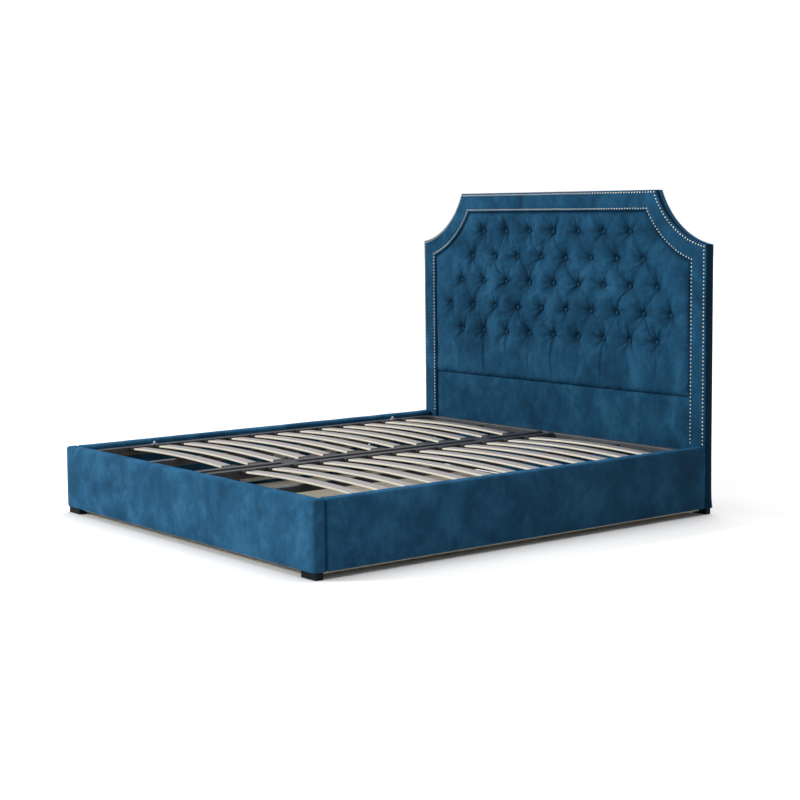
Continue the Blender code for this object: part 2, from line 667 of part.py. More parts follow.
def build_strut(side, sign):
    """Gas strut: a cylinder that turns about its lower stud, and a rod that slides out of it."""
    run = Vector((STRUT_Q[0] - STRUT_P[0], STRUT_Q[1] - STRUT_P[1]))
    pivot = add_empty("strut_pivot_" + side, (STRUT_X * sign, *STRUT_P))
    pivot.rotation_euler = (math.atan2(run.y, run.x), 0, 0)
    bottom, top = STRUT_TUBE
    lip = STRUT_ROD + 0.0006
    cylinder = turned("gas_cylinder_" + side,
                      [(0.0, bottom + 0.010), (STRUT_BORE, bottom + 0.010), (STRUT_BORE, top - 0.010),
                       (lip, top - 0.010), (lip, top), (STRUT_RADIUS, top), (STRUT_RADIUS, bottom),
                       (0.005, bottom - 0.004), (0.005, 0.003), (0.0, 0.003)], "strut_black", pivot)
    add_eye(cylinder, "cylinder_" + side, 0.0, PIN_PLAY, pivot)
    piston = 0.0078
    rod = turned("gas_rod_" + side,
                 [(0.0, run.length - 0.003), (STRUT_ROD, run.length - 0.003),
                  (STRUT_ROD, STRUT_ROD_START + 0.012), (piston, STRUT_ROD_START + 0.012),
                  (piston, STRUT_ROD_START), (0.0, STRUT_ROD_START)], "rod_chrome", pivot)
    add_eye(rod, "rod_" + side, run.length, OPEN_EYE_PLAY, pivot)


def build_lift(side, sign, platform):
    build_base_plate(side, sign)
    rear = add_empty("rear_arm_pivot_" + side, (0, *PIVOT_A))
    build_arm("lift_rear_arm_" + side, PIVOT_A, PIVOT_C, mirrored(REAR_ARM_X, sign), PIN_PLAY, rear)
    front = add_empty("front_arm_pivot_" + side, (0, *PIVOT_B))
    build_arm("lift_front_arm_" + side, PIVOT_B, PIVOT_D, mirrored(FRONT_ARM_X, sign),
              OPEN_PIVOT_PLAY, front)
    build_top_bracket(side, sign, platform)
    build_strut(side, sign)


def build_headboard():
    build_headboard_boards()
    build_headboard_border()
    build_tufted_pad()
    build_lower_pad()
    build_nail_trims()


def build_base():
    build_base_panels()
    build_feet()
    build_storage_floor()
    build_rest_ledge()


def build_platform():
    platform = add_empty("platform_pivot", (0, *PIVOT_C))
    build_frame(platform)
    build_slats(platform)
    for side, sign in SIDES.items():
        build_lift(side, sign, platform)


clear_scene()
BED = bpy.data.collections.new("upholstered_storage_bed")
CUTTERS = bpy.data.collections.new("cutters")
bpy.context.scene.collection.children.link(BED)
bpy.context.scene.collection.children.link(CUTTERS)
MATERIALS = {name: make_material(name) for name in COLOURS}
build_headboard()
build_base()
build_platform()
bpy.context.view_layer.update()
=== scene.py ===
"""Looks of the upholstered storage bed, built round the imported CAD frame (metres, +Z up, -Y is the foot end)."""

import json
import math
import random

import bmesh
import bpy
import numpy as np
from mathutils import Matrix, Vector, noise


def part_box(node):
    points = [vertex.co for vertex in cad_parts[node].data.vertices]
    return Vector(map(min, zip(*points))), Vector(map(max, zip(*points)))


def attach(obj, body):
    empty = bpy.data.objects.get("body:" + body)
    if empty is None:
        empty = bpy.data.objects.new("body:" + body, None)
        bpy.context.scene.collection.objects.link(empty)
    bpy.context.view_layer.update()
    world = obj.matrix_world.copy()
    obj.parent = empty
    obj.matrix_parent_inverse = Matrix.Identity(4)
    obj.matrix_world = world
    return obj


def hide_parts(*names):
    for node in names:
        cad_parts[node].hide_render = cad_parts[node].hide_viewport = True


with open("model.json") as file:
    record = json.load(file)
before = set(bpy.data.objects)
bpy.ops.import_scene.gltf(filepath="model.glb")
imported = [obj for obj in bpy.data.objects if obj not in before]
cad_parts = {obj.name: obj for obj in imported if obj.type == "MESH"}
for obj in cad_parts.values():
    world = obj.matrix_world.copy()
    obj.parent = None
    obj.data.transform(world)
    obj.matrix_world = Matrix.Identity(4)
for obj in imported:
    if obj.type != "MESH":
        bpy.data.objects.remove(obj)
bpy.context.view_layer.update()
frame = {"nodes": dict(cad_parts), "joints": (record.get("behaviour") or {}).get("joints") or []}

NODES = frame["nodes"]
SIDES = {"left": -1, "right": 1}

# ---------------------------------------------------------------- sizes that the CAD boxes don't give
ARCH_CENTRE = (1.0246, 1.5570)      # centre of the right shoulder's concave arc, X and Z
ARCH_RADIUS = 0.389
WINDOW_INSET = 0.090                # width of the border band
SEAM_Z = 0.510
TUFT_X = 0.084
TUFT_Z = 0.1225
TUFT_LOW_Z = 0.736
TUFT_COUNTS = (9, 10, 9, 8, 7)
NAIL_PITCH = 0.0166

border_low, border_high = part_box("headboard_border")
HALF = border_high.x
TOP = border_high.z
FRONT = border_low.y
BACK = border_high.y
SKIRT = border_low.z
PAD_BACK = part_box("headboard_core")[0].y


# ---------------------------------------------------------------- materials
class Nodes:
    """Small helper to write a material's node tree, in the object's own coordinates."""

    def __init__(self, name):
        self.material = bpy.data.materials.new(name)
        self.material.use_nodes = True
        self.tree = self.material.node_tree
        self.shader = self.tree.nodes["Principled BSDF"]
        self.place = self.tree.nodes.new("ShaderNodeTexCoord").outputs["Object"]

    def add(self, kind, **inputs):
        node = self.tree.nodes.new("ShaderNode" + kind)
        for key, value in inputs.items():
            if hasattr(node, key) and key.islower():
                setattr(node, key, value)
                continue
            socket = node.inputs[key.replace("_", " ")]
            if isinstance(value, bpy.types.NodeSocket):
                self.tree.links.new(value, socket)
            else:
                socket.default_value = value
        return node

    def scaled(self, scale, turn=(0, 0, 0)):
        return self.add("Mapping", Vector=self.place, Scale=scale, Rotation=turn).outputs["Vector"]

    def noise(self, scale, detail=3.0, roughness=0.5, vector=None, distortion=0.0):
        return self.add("TexNoise", Vector=vector or self.place, Scale=scale, Detail=detail,
                        Roughness=roughness, Distortion=distortion).outputs["Fac"]

    def ramp(self, fac, *stops):
        node = self.add("ValToRGB", Fac=fac)
        elements = node.color_ramp.elements
        while len(elements) < len(stops):
            elements.new(0.5)
        for element, (place, colour) in zip(elements, stops):
            element.position = place
            element.color = (*colour, 1.0) if len(colour) == 3 else colour
        return node.outputs["Color"]

    def value(self, fac, low, high, from_low=0.3, from_high=0.7):
        node = self.add("MapRange", Value=fac)
        for key, number in (("From Min", from_low), ("From Max", from_high), ("To Min", low), ("To Max", high)):
            node.inputs[key].default_value = number
        return node.outputs["Result"]

    def mix(self, fac, a, b, kind="MIX"):
        node = self.tree.nodes.new("ShaderNodeMix")
        node.data_type = "RGBA"
        node.blend_type = kind
        for socket, value in ((node.inputs[0], fac), (node.inputs[6], a), (node.inputs[7], b)):
            if isinstance(value, bpy.types.NodeSocket):
                self.tree.links.new(value, socket)
            else:
                socket.default_value = value if isinstance(value, float) else (*value, 1.0)
        return node.outputs[2]

    def bump(self, *layers):
        """Layers are (height, strength, distance in metres), the coarsest first."""
        normal = None
        for height, strength, distance in layers:
            node = self.add("Bump", Height=height, Strength=strength, Distance=distance)
            if normal:
                self.tree.links.new(normal, node.inputs["Normal"])
            normal = node.outputs["Normal"]
        self.tree.links.new(normal, self.shader.inputs["Normal"])

    def set(self, **sockets):
        for key, value in sockets.items():
            socket = self.shader.inputs[key.replace("_", " ")]
            if isinstance(value, bpy.types.NodeSocket):
                self.tree.links.new(value, socket)
            else:
                socket.default_value = (*value, 1.0) if isinstance(value, tuple) else value
        return self.material


def velvet(name, base, contrast=1.0, stretch=(1.0, 1.0, 0.75)):
    """Crushed velvet: soft patches where the pile lies one way or another, and a fine pile grain; with painted shade
    where a mesh attribute asks for it.
    """
    n = Nodes(name)
    broad = n.noise(6.0, 3.0, 0.55, n.scaled(stretch), 0.5)
    strokes = n.noise(30.0, 4.0, 0.66, n.scaled((1.0, 1.0, 0.72), (0.25, 0.35, 0.2)), 0.8)
    pile = n.noise(1100.0, 1.0, 0.6)
    mottle = n.mix(0.36, broad, strokes)
    dark = tuple(c * (1 - 0.36 * contrast) for c in base)
    light = tuple(c * (1 + k * contrast) for c, k in zip(base, (0.95, 0.58, 0.46)))
    colour = n.ramp(mottle, (0.37, dark), (0.50, base), (0.64, light))
    colour = n.mix(n.value(pile, 0.0, 0.05), colour, (0.06, 0.28, 0.50))
    # painted shade: a per-point mesh attribute darkens the colour to a tenth in dimples, creases, rolled edges and
    # shaded side faces
    painted_shade = n.value(n.add("Attribute", attribute_name="painted_shade").outputs["Fac"], 0.0, 0.90, 0.0, 1.0)
    colour = n.mix(painted_shade, colour, tuple(c * 0.10 for c in base))
    n.bump((strokes, 0.25, 0.0020), (pile, 0.35, 0.0004))
    return n.set(Base_Color=colour, Roughness=n.value(strokes, 0.70, 0.90), Sheen_Weight=0.22,
                 Sheen_Roughness=0.30, Sheen_Tint=(0.03, 0.28, 0.75), Specular_IOR_Level=0.04)


def wood(name, dark, light, pores, grain_axis=0, scale=9.0, gloss=(0.45, 0.62), coat=0.0):
    n = Nodes(name)
    stretch = [14.0, 14.0, 14.0]
    stretch[grain_axis] = 0.9
    place = n.scaled(tuple(stretch))
    rings = n.noise(scale * 0.35, 3.0, 0.5, place, 1.2)
    fibre = n.noise(scale * 3.0, 5.0, 0.65, place, 0.4)
    colour = n.ramp(n.mix(0.45, rings, fibre), (0.32, dark), (0.62, light))
    specks = n.noise(scale * 9.0, 2.0, 0.6, place)
    colour = n.mix(n.value(specks, 0.0, 0.55, 0.60, 0.72), colour, pores)
    n.bump((fibre, 0.25, 0.0004), (specks, 0.25, 0.0002))
    return n.set(Base_Color=colour, Roughness=n.value(fibre, *gloss), Coat_Weight=coat, Coat_Roughness=0.3)


def edge_ply(name):
    """Sawn edge of laminated slats: thin pale layers across the thickness."""
    n = Nodes(name)
    layers = n.add("TexWave", Vector=n.scaled((0.02, 0.0, 1.0)), Scale=190.0, Distortion=1.2, Detail=2.0,
                   bands_direction="Z").outputs["Fac"]
    fibre = n.noise(160.0, 4.0, 0.6, n.scaled((0.15, 1.0, 1.0)))
    colour = n.ramp(layers, (0.25, (0.78, 0.73, 0.60)), (0.75, (0.93, 0.90, 0.80)))
    colour = n.mix(n.value(fibre, 0.0, 0.18), colour, (0.66, 0.55, 0.40))
    n.bump((fibre, 0.3, 0.0004))
    return n.set(Base_Color=colour, Roughness=n.value(fibre, 0.5, 0.7))


def coated_metal(name, dark, light, gloss, metallic=0.0, peel=0.18):
    """Powder coat: fine orange peel, faint scuffs and dust."""
    n = Nodes(name)
    peel_noise = n.noise(900.0, 2.0, 0.55)
    scuffs = n.noise(45.0, 6.0, 0.7, n.scaled((1.0, 0.35, 1.0)), 1.5)
    cloud = n.noise(9.0, 3.0, 0.5)
    colour = n.ramp(cloud, (0.35, dark), (0.65, light))
    colour = n.mix(n.value(scuffs, 0.0, 0.30, 0.60, 0.75), colour, (0.30, 0.31, 0.34))
    n.bump((peel_noise, peel, 0.0003))
    return n.set(Base_Color=colour, Roughness=n.value(scuffs, *gloss), Metallic=metallic)


def bright_metal(name, dark, light, gloss, grain=(1.0, 1.0, 1.0), metallic=1.0, bump=0.08):
    n = Nodes(name)
    cloud = n.noise(70.0, 4.0, 0.6, n.scaled(grain), 0.8)
    brush = n.noise(520.0, 3.0, 0.6, n.scaled(grain))
    colour = n.ramp(n.mix(0.4, cloud, brush), (0.35, dark), (0.65, light))
    n.bump((brush, bump, 0.0002))
    return n.set(Base_Color=colour, Roughness=n.value(cloud, *gloss), Metallic=metallic)


def plastic(name, dark, light, gloss, fine=600.0, specular=0.5):
    n = Nodes(name)
    cloud = n.noise(30.0, 3.0, 0.5)
    fine_noise = n.noise(fine, 2.0, 0.6)
    n.bump((fine_noise, 0.2, 0.0003))
    return n.set(Specular_IOR_Level=specular, Base_Color=n.ramp(cloud, (0.35, dark), (0.65, light)), Roughness=n.value(fine_noise, *gloss))


def woven_lining(name):
    """Black non-woven lining: crossed threads with a slight sheen."""
    n = Nodes(name)
    warp = n.add("TexWave", Vector=n.place, Scale=420.0, Distortion=1.5, Detail=2.0, bands_direction="X")
    weft = n.add("TexWave", Vector=n.place, Scale=420.0, Distortion=1.5, Detail=2.0, bands_direction="Z")
    weave = n.mix(0.5, warp.outputs["Fac"], weft.outputs["Fac"])
    lint = n.noise(130.0, 5.0, 0.7)
    colour = n.ramp(weave, (0.30, (0.010, 0.010, 0.012)), (0.70, (0.036, 0.036, 0.042)))
    colour = n.mix(n.value(lint, 0.0, 0.4, 0.55, 0.75), colour, (0.07, 0.07, 0.08))
    dust = n.noise(3.5, 5.0, 0.62, n.scaled((1.0, 1.0, 0.6)), 0.8)
    colour = n.mix(n.value(dust, 0.0, 0.75, 0.42, 0.68), colour, (0.011, 0.011, 0.014))
    n.bump((weave, 0.4, 0.0005), (lint, 0.2, 0.0006))
    return n.set(Base_Color=colour, Roughness=n.value(lint, 0.80, 0.95), Sheen_Weight=0.15, Sheen_Roughness=0.5)


VELVET = velvet("velvet", (0.0150, 0.076, 0.154), 0.95, (1.0, 1.0, 0.95))
# painted shade: a darker copy of the velvet for the headboard, which stands in dimmer light
VELVET_HEAD_SHADED = velvet("velvet_headboard", (0.0092, 0.056, 0.118), 1.1)
# painted shade: a near-black copy of the velvet for the headboard's side faces
VELVET_SIDE_SHADE = velvet("velvet_headboard_side_shade", (0.0010, 0.0075, 0.018), 0.8)
# painted shade: a darker copy of the velvet for the buttons, which sit in the dimples' shade
BUTTON_SHADED = velvet("velvet_button", (0.0070, 0.043, 0.088), 0.6, (3.0, 3.0, 3.0))
PINE = wood("timber_pine", (0.42, 0.28, 0.15), (0.62, 0.46, 0.28), (0.22, 0.13, 0.06), 0)
BOARD = wood("floor_board", (0.42, 0.38, 0.29), (0.56, 0.52, 0.42), (0.28, 0.25, 0.18), 1, 7.0, (0.45, 0.6))
BIRCH = wood("slat_birch", (0.235, 0.215, 0.212), (0.352, 0.330, 0.330), (0.18, 0.155, 0.150), 0, 11.0, (0.42, 0.56), 0.10)
PLY_EDGE = edge_ply("slat_edge")
LINING = woven_lining("backing_cloth")
NAIL = bright_metal("nail_metal", (0.70, 0.66, 0.52), (0.94, 0.90, 0.76), (0.26, 0.40), (4.0, 4.0, 4.0))
FRAME_STEEL = coated_metal("frame_steel", (0.040, 0.043, 0.052), (0.060, 0.064, 0.076), (0.34, 0.50))
ZINC = bright_metal("bracket_steel", (0.44, 0.45, 0.46), (0.66, 0.67, 0.69), (0.26, 0.44), (1.0, 0.3, 1.0))
STRUT_BLACK = coated_metal("strut_black", (0.012, 0.012, 0.014), (0.024, 0.024, 0.027), (0.20, 0.34), 0.0, 0.06)
CHROME = bright_metal("rod_chrome", (0.70, 0.71, 0.73), (0.84, 0.85, 0.87), (0.05, 0.12), (1.0, 0.2, 1.0), 1.0, 0.03)
FOOT = plastic("foot_block", (0.002, 0.006, 0.008), (0.005, 0.012, 0.015), (0.55, 0.75), specular=0.10)
HOLDER = plastic("holder_plastic", (0.012, 0.012, 0.014), (0.022, 0.022, 0.025), (0.38, 0.55))
GUIDE = plastic("guide_plastic", (0.74, 0.74, 0.73), (0.86, 0.86, 0.85), (0.35, 0.50))
RUBBER = plastic("rubber_pad", (0.018, 0.017, 0.016), (0.032, 0.031, 0.030), (0.75, 0.90), 900.0)


# ---------------------------------------------------------------- mesh helpers
def link(name, mesh, body, replaces=()):
    obj = bpy.data.objects.new(name, mesh)
    bpy.context.scene.collection.objects.link(obj)
    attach(obj, body)
    if replaces:
        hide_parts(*replaces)
    return obj


def mesh_from(name, points, faces, *materials, indices=None, smooth=True, sharp=None):
    mesh = bpy.data.meshes.new(name)
    mesh.from_pydata([tuple(p) for p in points], [], faces)
    for material in materials:
        mesh.materials.append(material)
    if indices is not None:
        mesh.polygons.foreach_set("material_index", indices)
    mesh.polygons.foreach_set("use_smooth", [smooth] * len(mesh.polygons))
    bm = bmesh.new()
    bm.from_mesh(mesh)
    bmesh.ops.recalc_face_normals(bm, faces=bm.faces)
    bm.to_mesh(mesh)
    bm.free()
    if sharp:
        mesh.set_sharp_from_angle(angle=math.radians(sharp))
    return mesh


def mesh_from_bm(name, bm, *materials, sharp=35):
    bmesh.ops.recalc_face_normals(bm, faces=bm.faces)
    mesh = bpy.data.meshes.new(name)
    bm.to_mesh(mesh)
    bm.free()
    for material in materials:
        mesh.materials.append(material)
    mesh.polygons.foreach_set("use_smooth", [True] * len(mesh.polygons))
    mesh.set_sharp_from_angle(angle=math.radians(sharp))
    return mesh


def grid_faces(columns, rows, start=0, close_columns=False):
    """Quads of a grid of points stored row by row."""
    faces = []
    for r in range(rows - 1):
        for c in range(columns if close_columns else columns - 1):
            d = (c + 1) % columns
            faces.append((start + r * columns + c, start + r * columns + d,
                          start + (r + 1) * columns + d, start + (r + 1) * columns + c))
    return faces


def lathe(bm, profile, origin, axis, sides=32):
    """Turn a profile of (distance along the axis, radius) about an axis, closed at both ends."""
    axis = Vector(axis).normalized()
    place = Matrix.Translation(Vector(origin)) @ axis.to_track_quat("Z", "X").to_matrix().to_4x4()
    rings = []
    for along, radius in profile:
        if radius < 1e-6:
            rings.append([bm.verts.new(place @ Vector((0, 0, along)))])
            continue
        rings.append([bm.verts.new(place @ Vector((radius * math.cos(2 * math.pi * i / sides),
                                                   radius * math.sin(2 * math.pi * i / sides), along)))
                      for i in range(sides)])
    for a, b in zip(rings, rings[1:]):
        for i in range(sides):
            j = (i + 1) % sides
            if len(a) == 1:
                bm.faces.new((a[0], b[i], b[j]))
            elif len(b) == 1:
                bm.faces.new((a[i], a[j], b[0]))
            else:
                bm.faces.new((a[i], a[j], b[j], b[i]))
    for ring in (rings[0], rings[-1]):
        if len(ring) > 1:
            bm.faces.new(ring)


def bevelled_box(bm, low, high, width=0.001, segments=2):
    low, high = Vector(low), Vector(high)
    place = Matrix.Translation((low + high) / 2) @ Matrix.Diagonal((*(high - low), 1.0))
    made = bmesh.ops.create_cube(bm, size=1.0, matrix=place)["verts"]
    edges = list({e for v in made for e in v.link_edges})
    bmesh.ops.bevel(bm, geom=edges, offset=width, segments=segments, profile=0.6, affect="EDGES")


def ease(t):
    t = np.clip(t, 0.0, 1.0)
    return t * t * (3 - 2 * t)


def noise_field(points, scale, seed=0.0):
    """Smooth noise from -1 to 1 at each point, bumps about 1/scale metres across."""
    shift = Vector((seed * 3.17, seed * 7.31, seed * 1.93))
    return np.array([noise.noise(Vector(p) * scale + shift) for p in points])


# ---------------------------------------------------------------- headboard outline
def arc_points(centre, radius, start, end, count):
    points = []
    for i in range(count + 1):
        angle = math.radians(start + (end - start) * i / count)
        points.append((centre[0] + radius * math.cos(angle), centre[1] + radius * math.sin(angle)))
    return points


def arch_corners(inset):
    """Radius, shoulder and crown angles of the right shoulder arc at an inset from the edge."""
    radius = ARCH_RADIUS + inset
    side, top = HALF - inset, TOP - inset
    shoulder = math.degrees(math.atan2(-math.sqrt(radius**2 - (side - ARCH_CENTRE[0])**2), side - ARCH_CENTRE[0]))
    crown = math.degrees(math.atan2(top - ARCH_CENTRE[1], -math.sqrt(radius**2 - (top - ARCH_CENTRE[1])**2)))
    return radius, shoulder, crown


def arch_path(inset, low_z, side_steps=1, arc_steps=8, top_steps=2):
    """Headboard outline from the right foot over the top to the left foot, as X and Z."""
    radius, shoulder, crown = arch_corners(inset)
    arc = arc_points(ARCH_CENTRE, radius, shoulder, crown, arc_steps)
    start = (HALF - inset, low_z)
    half = [(start[0], start[1] + (arc[0][1] - start[1]) * i / side_steps) for i in range(side_steps)] + arc
    top_x = arc[-1][0]
    middle = [(top_x * (1 - 2 * i / top_steps), arc[-1][1]) for i in range(1, top_steps)]
    return half + middle + [(-x, z) for x, z in reversed(half)]


def window_distance(x, z):
    """Distance of a point inside the window from the border's inner edge."""
    arc = np.hypot(np.abs(x) - ARCH_CENTRE[0], z - ARCH_CENTRE[1]) - (ARCH_RADIUS + WINDOW_INSET)
    return np.minimum(np.minimum(HALF - WINDOW_INSET - np.abs(x), TOP - WINDOW_INSET - z), arc)


def window_top(x):
    """Top of the window over a place X."""
    radius, _, crown = arch_corners(WINDOW_INSET)
    corner = abs(ARCH_CENTRE[0] + radius * math.cos(math.radians(crown)))
    z = np.full_like(x, TOP - WINDOW_INSET)
    over = np.abs(x) > corner
    z[over] = ARCH_CENTRE[1] - np.sqrt(np.maximum(radius**2 - (np.abs(x[over]) - ARCH_CENTRE[0])**2, 0))
    return z, corner


def tuft_places():
    return [((2 * i - count + 1) * TUFT_X, TUFT_LOW_Z + row * TUFT_Z, row)
            for row, count in enumerate(TUFT_COUNTS) for i in range(count)]


# ---------------------------------------------------------------- soft pieces
def simulate(obj, pins, pressure=4.0, cap=0.006, shrink=0.0, frames=20, stiffness=15.0, bending=0.5):
    """Inflate a padded skin with a short cloth simulation, limit how far it moves, and keep the result."""
    mesh = obj.data
    before = np.zeros(len(mesh.vertices) * 3)
    mesh.vertices.foreach_get("co", before)
    before = before.reshape(-1, 3)
    group = obj.vertex_groups.new(name="held")
    for weight in sorted(set(np.round(pins, 1))):
        chosen = np.nonzero(np.round(pins, 1) == weight)[0].tolist()
        if weight > 0:
            group.add(chosen, float(weight), "REPLACE")
    cloth = obj.modifiers.new("cloth", "CLOTH")
    settings = cloth.settings
    settings.quality = 5
    settings.mass = 0.3
    settings.tension_stiffness = settings.compression_stiffness = stiffness
    settings.shear_stiffness = 5.0
    settings.bending_stiffness = bending
    settings.vertex_group_mass = "held"
    settings.use_pressure = True
    settings.uniform_pressure_force = pressure
    settings.shrink_min = shrink
    settings.effector_weights.gravity = 0.0
    cloth.collision_settings.use_collision = False
    cloth.point_cache.frame_start = 1
    cloth.point_cache.frame_end = frames
    scene = bpy.context.scene
    for step in range(1, frames + 1):
        scene.frame_set(step)
    graph = bpy.context.evaluated_depsgraph_get()
    result = obj.evaluated_get(graph).data
    after = np.zeros(len(result.vertices) * 3)
    result.vertices.foreach_get("co", after)
    moved = after.reshape(-1, 3) - before
    length = np.linalg.norm(moved, axis=1, keepdims=True)
    moved *= cap * np.tanh(length / cap) / np.maximum(length, 1e-9)
    obj.modifiers.remove(cloth)
    obj.vertex_groups.clear()
    scene.frame_set(1)
    mesh.vertices.foreach_set("co", (before + moved).ravel())
    mesh.update()


def subdivide(obj, levels=1):
    modifier = obj.modifiers.new("smooth", "SUBSURF")
    modifier.levels = modifier.render_levels = levels
    modifier.boundary_smooth = "PRESERVE_CORNERS"


class Crease:
    """A fold along a curved line: steep on one side, gentle on the other, with a slight ridge beyond."""

    def __init__(self, points, depths, side, narrow=0.005, wide=0.020):
        self.points = np.array(points)
        self.depths = np.array(depths)
        self.side = side
        self.narrow = narrow
        self.wide = wide

    def depth(self, x, z):
        """How far the fold pushes each point in, and the painted shade along its line."""
        low = self.points.min(0) - 0.06
        high = self.points.max(0) + 0.06
        near = np.nonzero((x > low[0]) & (x < high[0]) & (z > low[1]) & (z < high[1]))[0]
        out, dark = np.zeros_like(x), np.zeros_like(x)
        if not len(near):
            return out, dark
        p = np.stack([x[near], z[near]], 1)[:, None, :]
        a, b = self.points[None, :-1], self.points[None, 1:]
        along = b - a
        t = np.clip(((p - a) * along).sum(2) / (along**2).sum(2), 0, 1)
        gap = p - (a + t[..., None] * along)
        distance = np.linalg.norm(gap, axis=2)
        best = distance.argmin(1)
        rows = np.arange(len(near))
        d, t = distance[rows, best], t[rows, best]
        cross = along[0, best, 0] * gap[rows, best, 1] - along[0, best, 1] * gap[rows, best, 0]
        side = np.sign(cross) * self.side
        deep = self.depths[best] * (1 - t) + self.depths[best + 1] * t
        width = np.where(side > 0, self.narrow, self.wide)
        ridge = np.where(side > 0, 0.45 * np.exp(-((d - 2.6 * self.narrow) / (1.6 * self.narrow))**2), 0.0)
        out[near] = deep * (np.exp(-d / width) - ridge)
        # painted shade along the fold's line, darker where the fold is deeper
        dark[near] = np.minimum(deep / 0.0110, 1) ** 0.68 * np.exp(-(d / np.where(side > 0, 0.0036, 0.0070))**2)
        return out, dark


def bent_line(a, b, bow, count=18, swing=0.0):
    """Points from a to b, bowed sideways, with an S where swing isn't 0."""
    a, b = np.array(a), np.array(b)
    across = np.array([-(b - a)[1], (b - a)[0]]) / np.linalg.norm(b - a)
    t = np.linspace(0, 1, count)
    offset = bow * np.sin(math.pi * t) + swing * np.sin(2 * math.pi * t)
    return a + t[:, None] * (b - a) + offset[:, None] * across


def tuft_creases(rng):
    """Folds that run between neighbouring buttons, and pleats from the lowest buttons to the seam."""
    places = tuft_places()
    creases = []
    t = np.linspace(0, 1, 18)
    for x, z, row in places:
        for other_x, other_z, other_row in places:
            if other_row != row + 1 or abs(abs(other_x - x) - TUFT_X) > 0.01:
                continue
            strong = 0.20 + 0.80 * rng.random() ** 1.6
            strong *= 0.75 + 0.25 * ease(np.array((x + 0.55) / 0.5))
            if row == 3:
                strong *= 0.8
            deep = 0.0125 * strong * (1 - 0.55 * np.sin(math.pi * t) ** 0.7)
            bow = rng.choice((-1, 1)) * rng.uniform(0.006, 0.016)
            line = bent_line((x, z), (other_x, other_z), bow, swing=rng.uniform(-0.006, 0.006))
            creases.append(Crease(line, deep, rng.choice((-1, 1)), 0.0036, rng.uniform(0.015, 0.024)))
    for x, z, row in places:
        if row == 0:
            strong = rng.uniform(0.45, 1.0)
            end_z = SEAM_Z + rng.uniform(0.004, 0.05)
            line = bent_line((x, z), (x + rng.uniform(-0.012, 0.012), end_z), rng.uniform(-0.010, 0.010),
                             swing=rng.uniform(-0.005, 0.005))
            deep = 0.0090 * strong * (1 - 0.74 * t ** 0.6)
            creases.append(Crease(line, deep, rng.choice((-1, 1)), 0.0042, 0.018))
        if row == len(TUFT_COUNTS) - 1:
            line = bent_line((x, z), (x + rng.uniform(-0.02, 0.02), z + 0.085), rng.uniform(-0.008, 0.008))
            creases.append(Crease(line, 0.0028 * rng.uniform(0.3, 1.0) * (1 - t), rng.choice((-1, 1)), 0.005, 0.02))
        count = TUFT_COUNTS[row]
        if abs(abs(x) - (count - 1) * TUFT_X) < 1e-6:
            out = math.copysign(1.0, x)
            reach = min(0.10, HALF - WINDOW_INSET - 0.02 - abs(x))
            line = bent_line((x, z), (x + out * reach, z + rng.uniform(-0.02, 0.02)), rng.uniform(-0.006, 0.006))
            creases.append(Crease(line, 0.0030 * rng.uniform(0.4, 1.0) * (1 - t), rng.choice((-1, 1)), 0.005, 0.02))
    return creases


PAD_SURFACE = FRONT + 0.0005
BUTTON_DEEP = 0.0190


def tufted_depth(x, z):
    """Depth behind the pad's general surface at each point, how firmly a point is held, and the painted shade in its
    creases and dimples.
    """
    rng = random.Random(31)
    bend = 0.006
    flat = np.stack([x, np.zeros_like(x), z], 1)
    wx = x + bend * noise_field(flat, 9.0, 1)
    wz = z + bend * noise_field(flat, 9.0, 2)
    depth = np.zeros_like(x)
    painted_shade = np.zeros_like(x)
    for crease in tuft_creases(rng):
        fold, dark = crease.depth(wx, wz)
        depth = np.maximum(depth, fold) + np.minimum(fold, 0)
        # painted shade along each crease
        painted_shade = np.maximum(painted_shade, 0.92 * dark)
    held = np.zeros_like(x)
    dimples = np.zeros_like(x)
    for bx, bz, row in tuft_places():
        d = np.hypot(x - bx, z - bz)
        near = d < 0.11
        angle = np.arctan2(z[near] - bz, x[near] - bx)
        star = sum(rng.uniform(0.08, 0.24) * np.cos(k * angle + rng.uniform(0, 6.28)) for k in (2, 3, 5, 7, 9))
        reach = 0.0225 * (1 + star * np.clip(d[near] / 0.012, 0, 1)) * rng.uniform(0.92, 1.10)
        fall = np.exp(-np.clip(d[near] - 0.0085, 0, None) / reach * 1.05)
        dimples[near] = np.maximum(dimples[near], BUTTON_DEEP * fall)
        held[d < 0.013] = 1.0
        # painted shade in each dimple, shifted to its upper-left slope, which faces away from the light
        shade = np.hypot(x[near] - bx + 0.006, (z[near] - bz - 0.007) * 0.85) / (0.0235 * np.clip(1 + 1.3 * star, 0.5, 1.8))
        painted_shade[near] = np.maximum(painted_shade[near], 0.97 * np.exp(-np.clip(shade, 0, 9) ** 1.4))
    u = x / (2 * TUFT_X) + (z - TUFT_LOW_Z) / (2 * TUFT_Z)
    v = x / (2 * TUFT_X) - (z - TUFT_LOW_Z) / (2 * TUFT_Z)
    puff = np.abs(np.sin(math.pi * u) * np.sin(math.pi * v)) ** 0.7
    rise = (z - TUFT_LOW_Z) / TUFT_Z
    limit = 9.6 * TUFT_X - np.maximum(rise - 1, 0) * TUFT_X
    inside = ease((limit - np.abs(x)) / 0.10) * ease((rise + 0.7) / 0.8) * ease((4.7 - rise) / 0.8)
    total = np.maximum(dimples, depth) + 0.35 * np.minimum(dimples, depth)
    total -= 0.0038 * (puff - 0.45) * inside
    total -= 0.0008 * noise_field(flat, 14.0, 3) + 0.0005 * noise_field(flat, 34.0, 4)
    return total, held, painted_shade


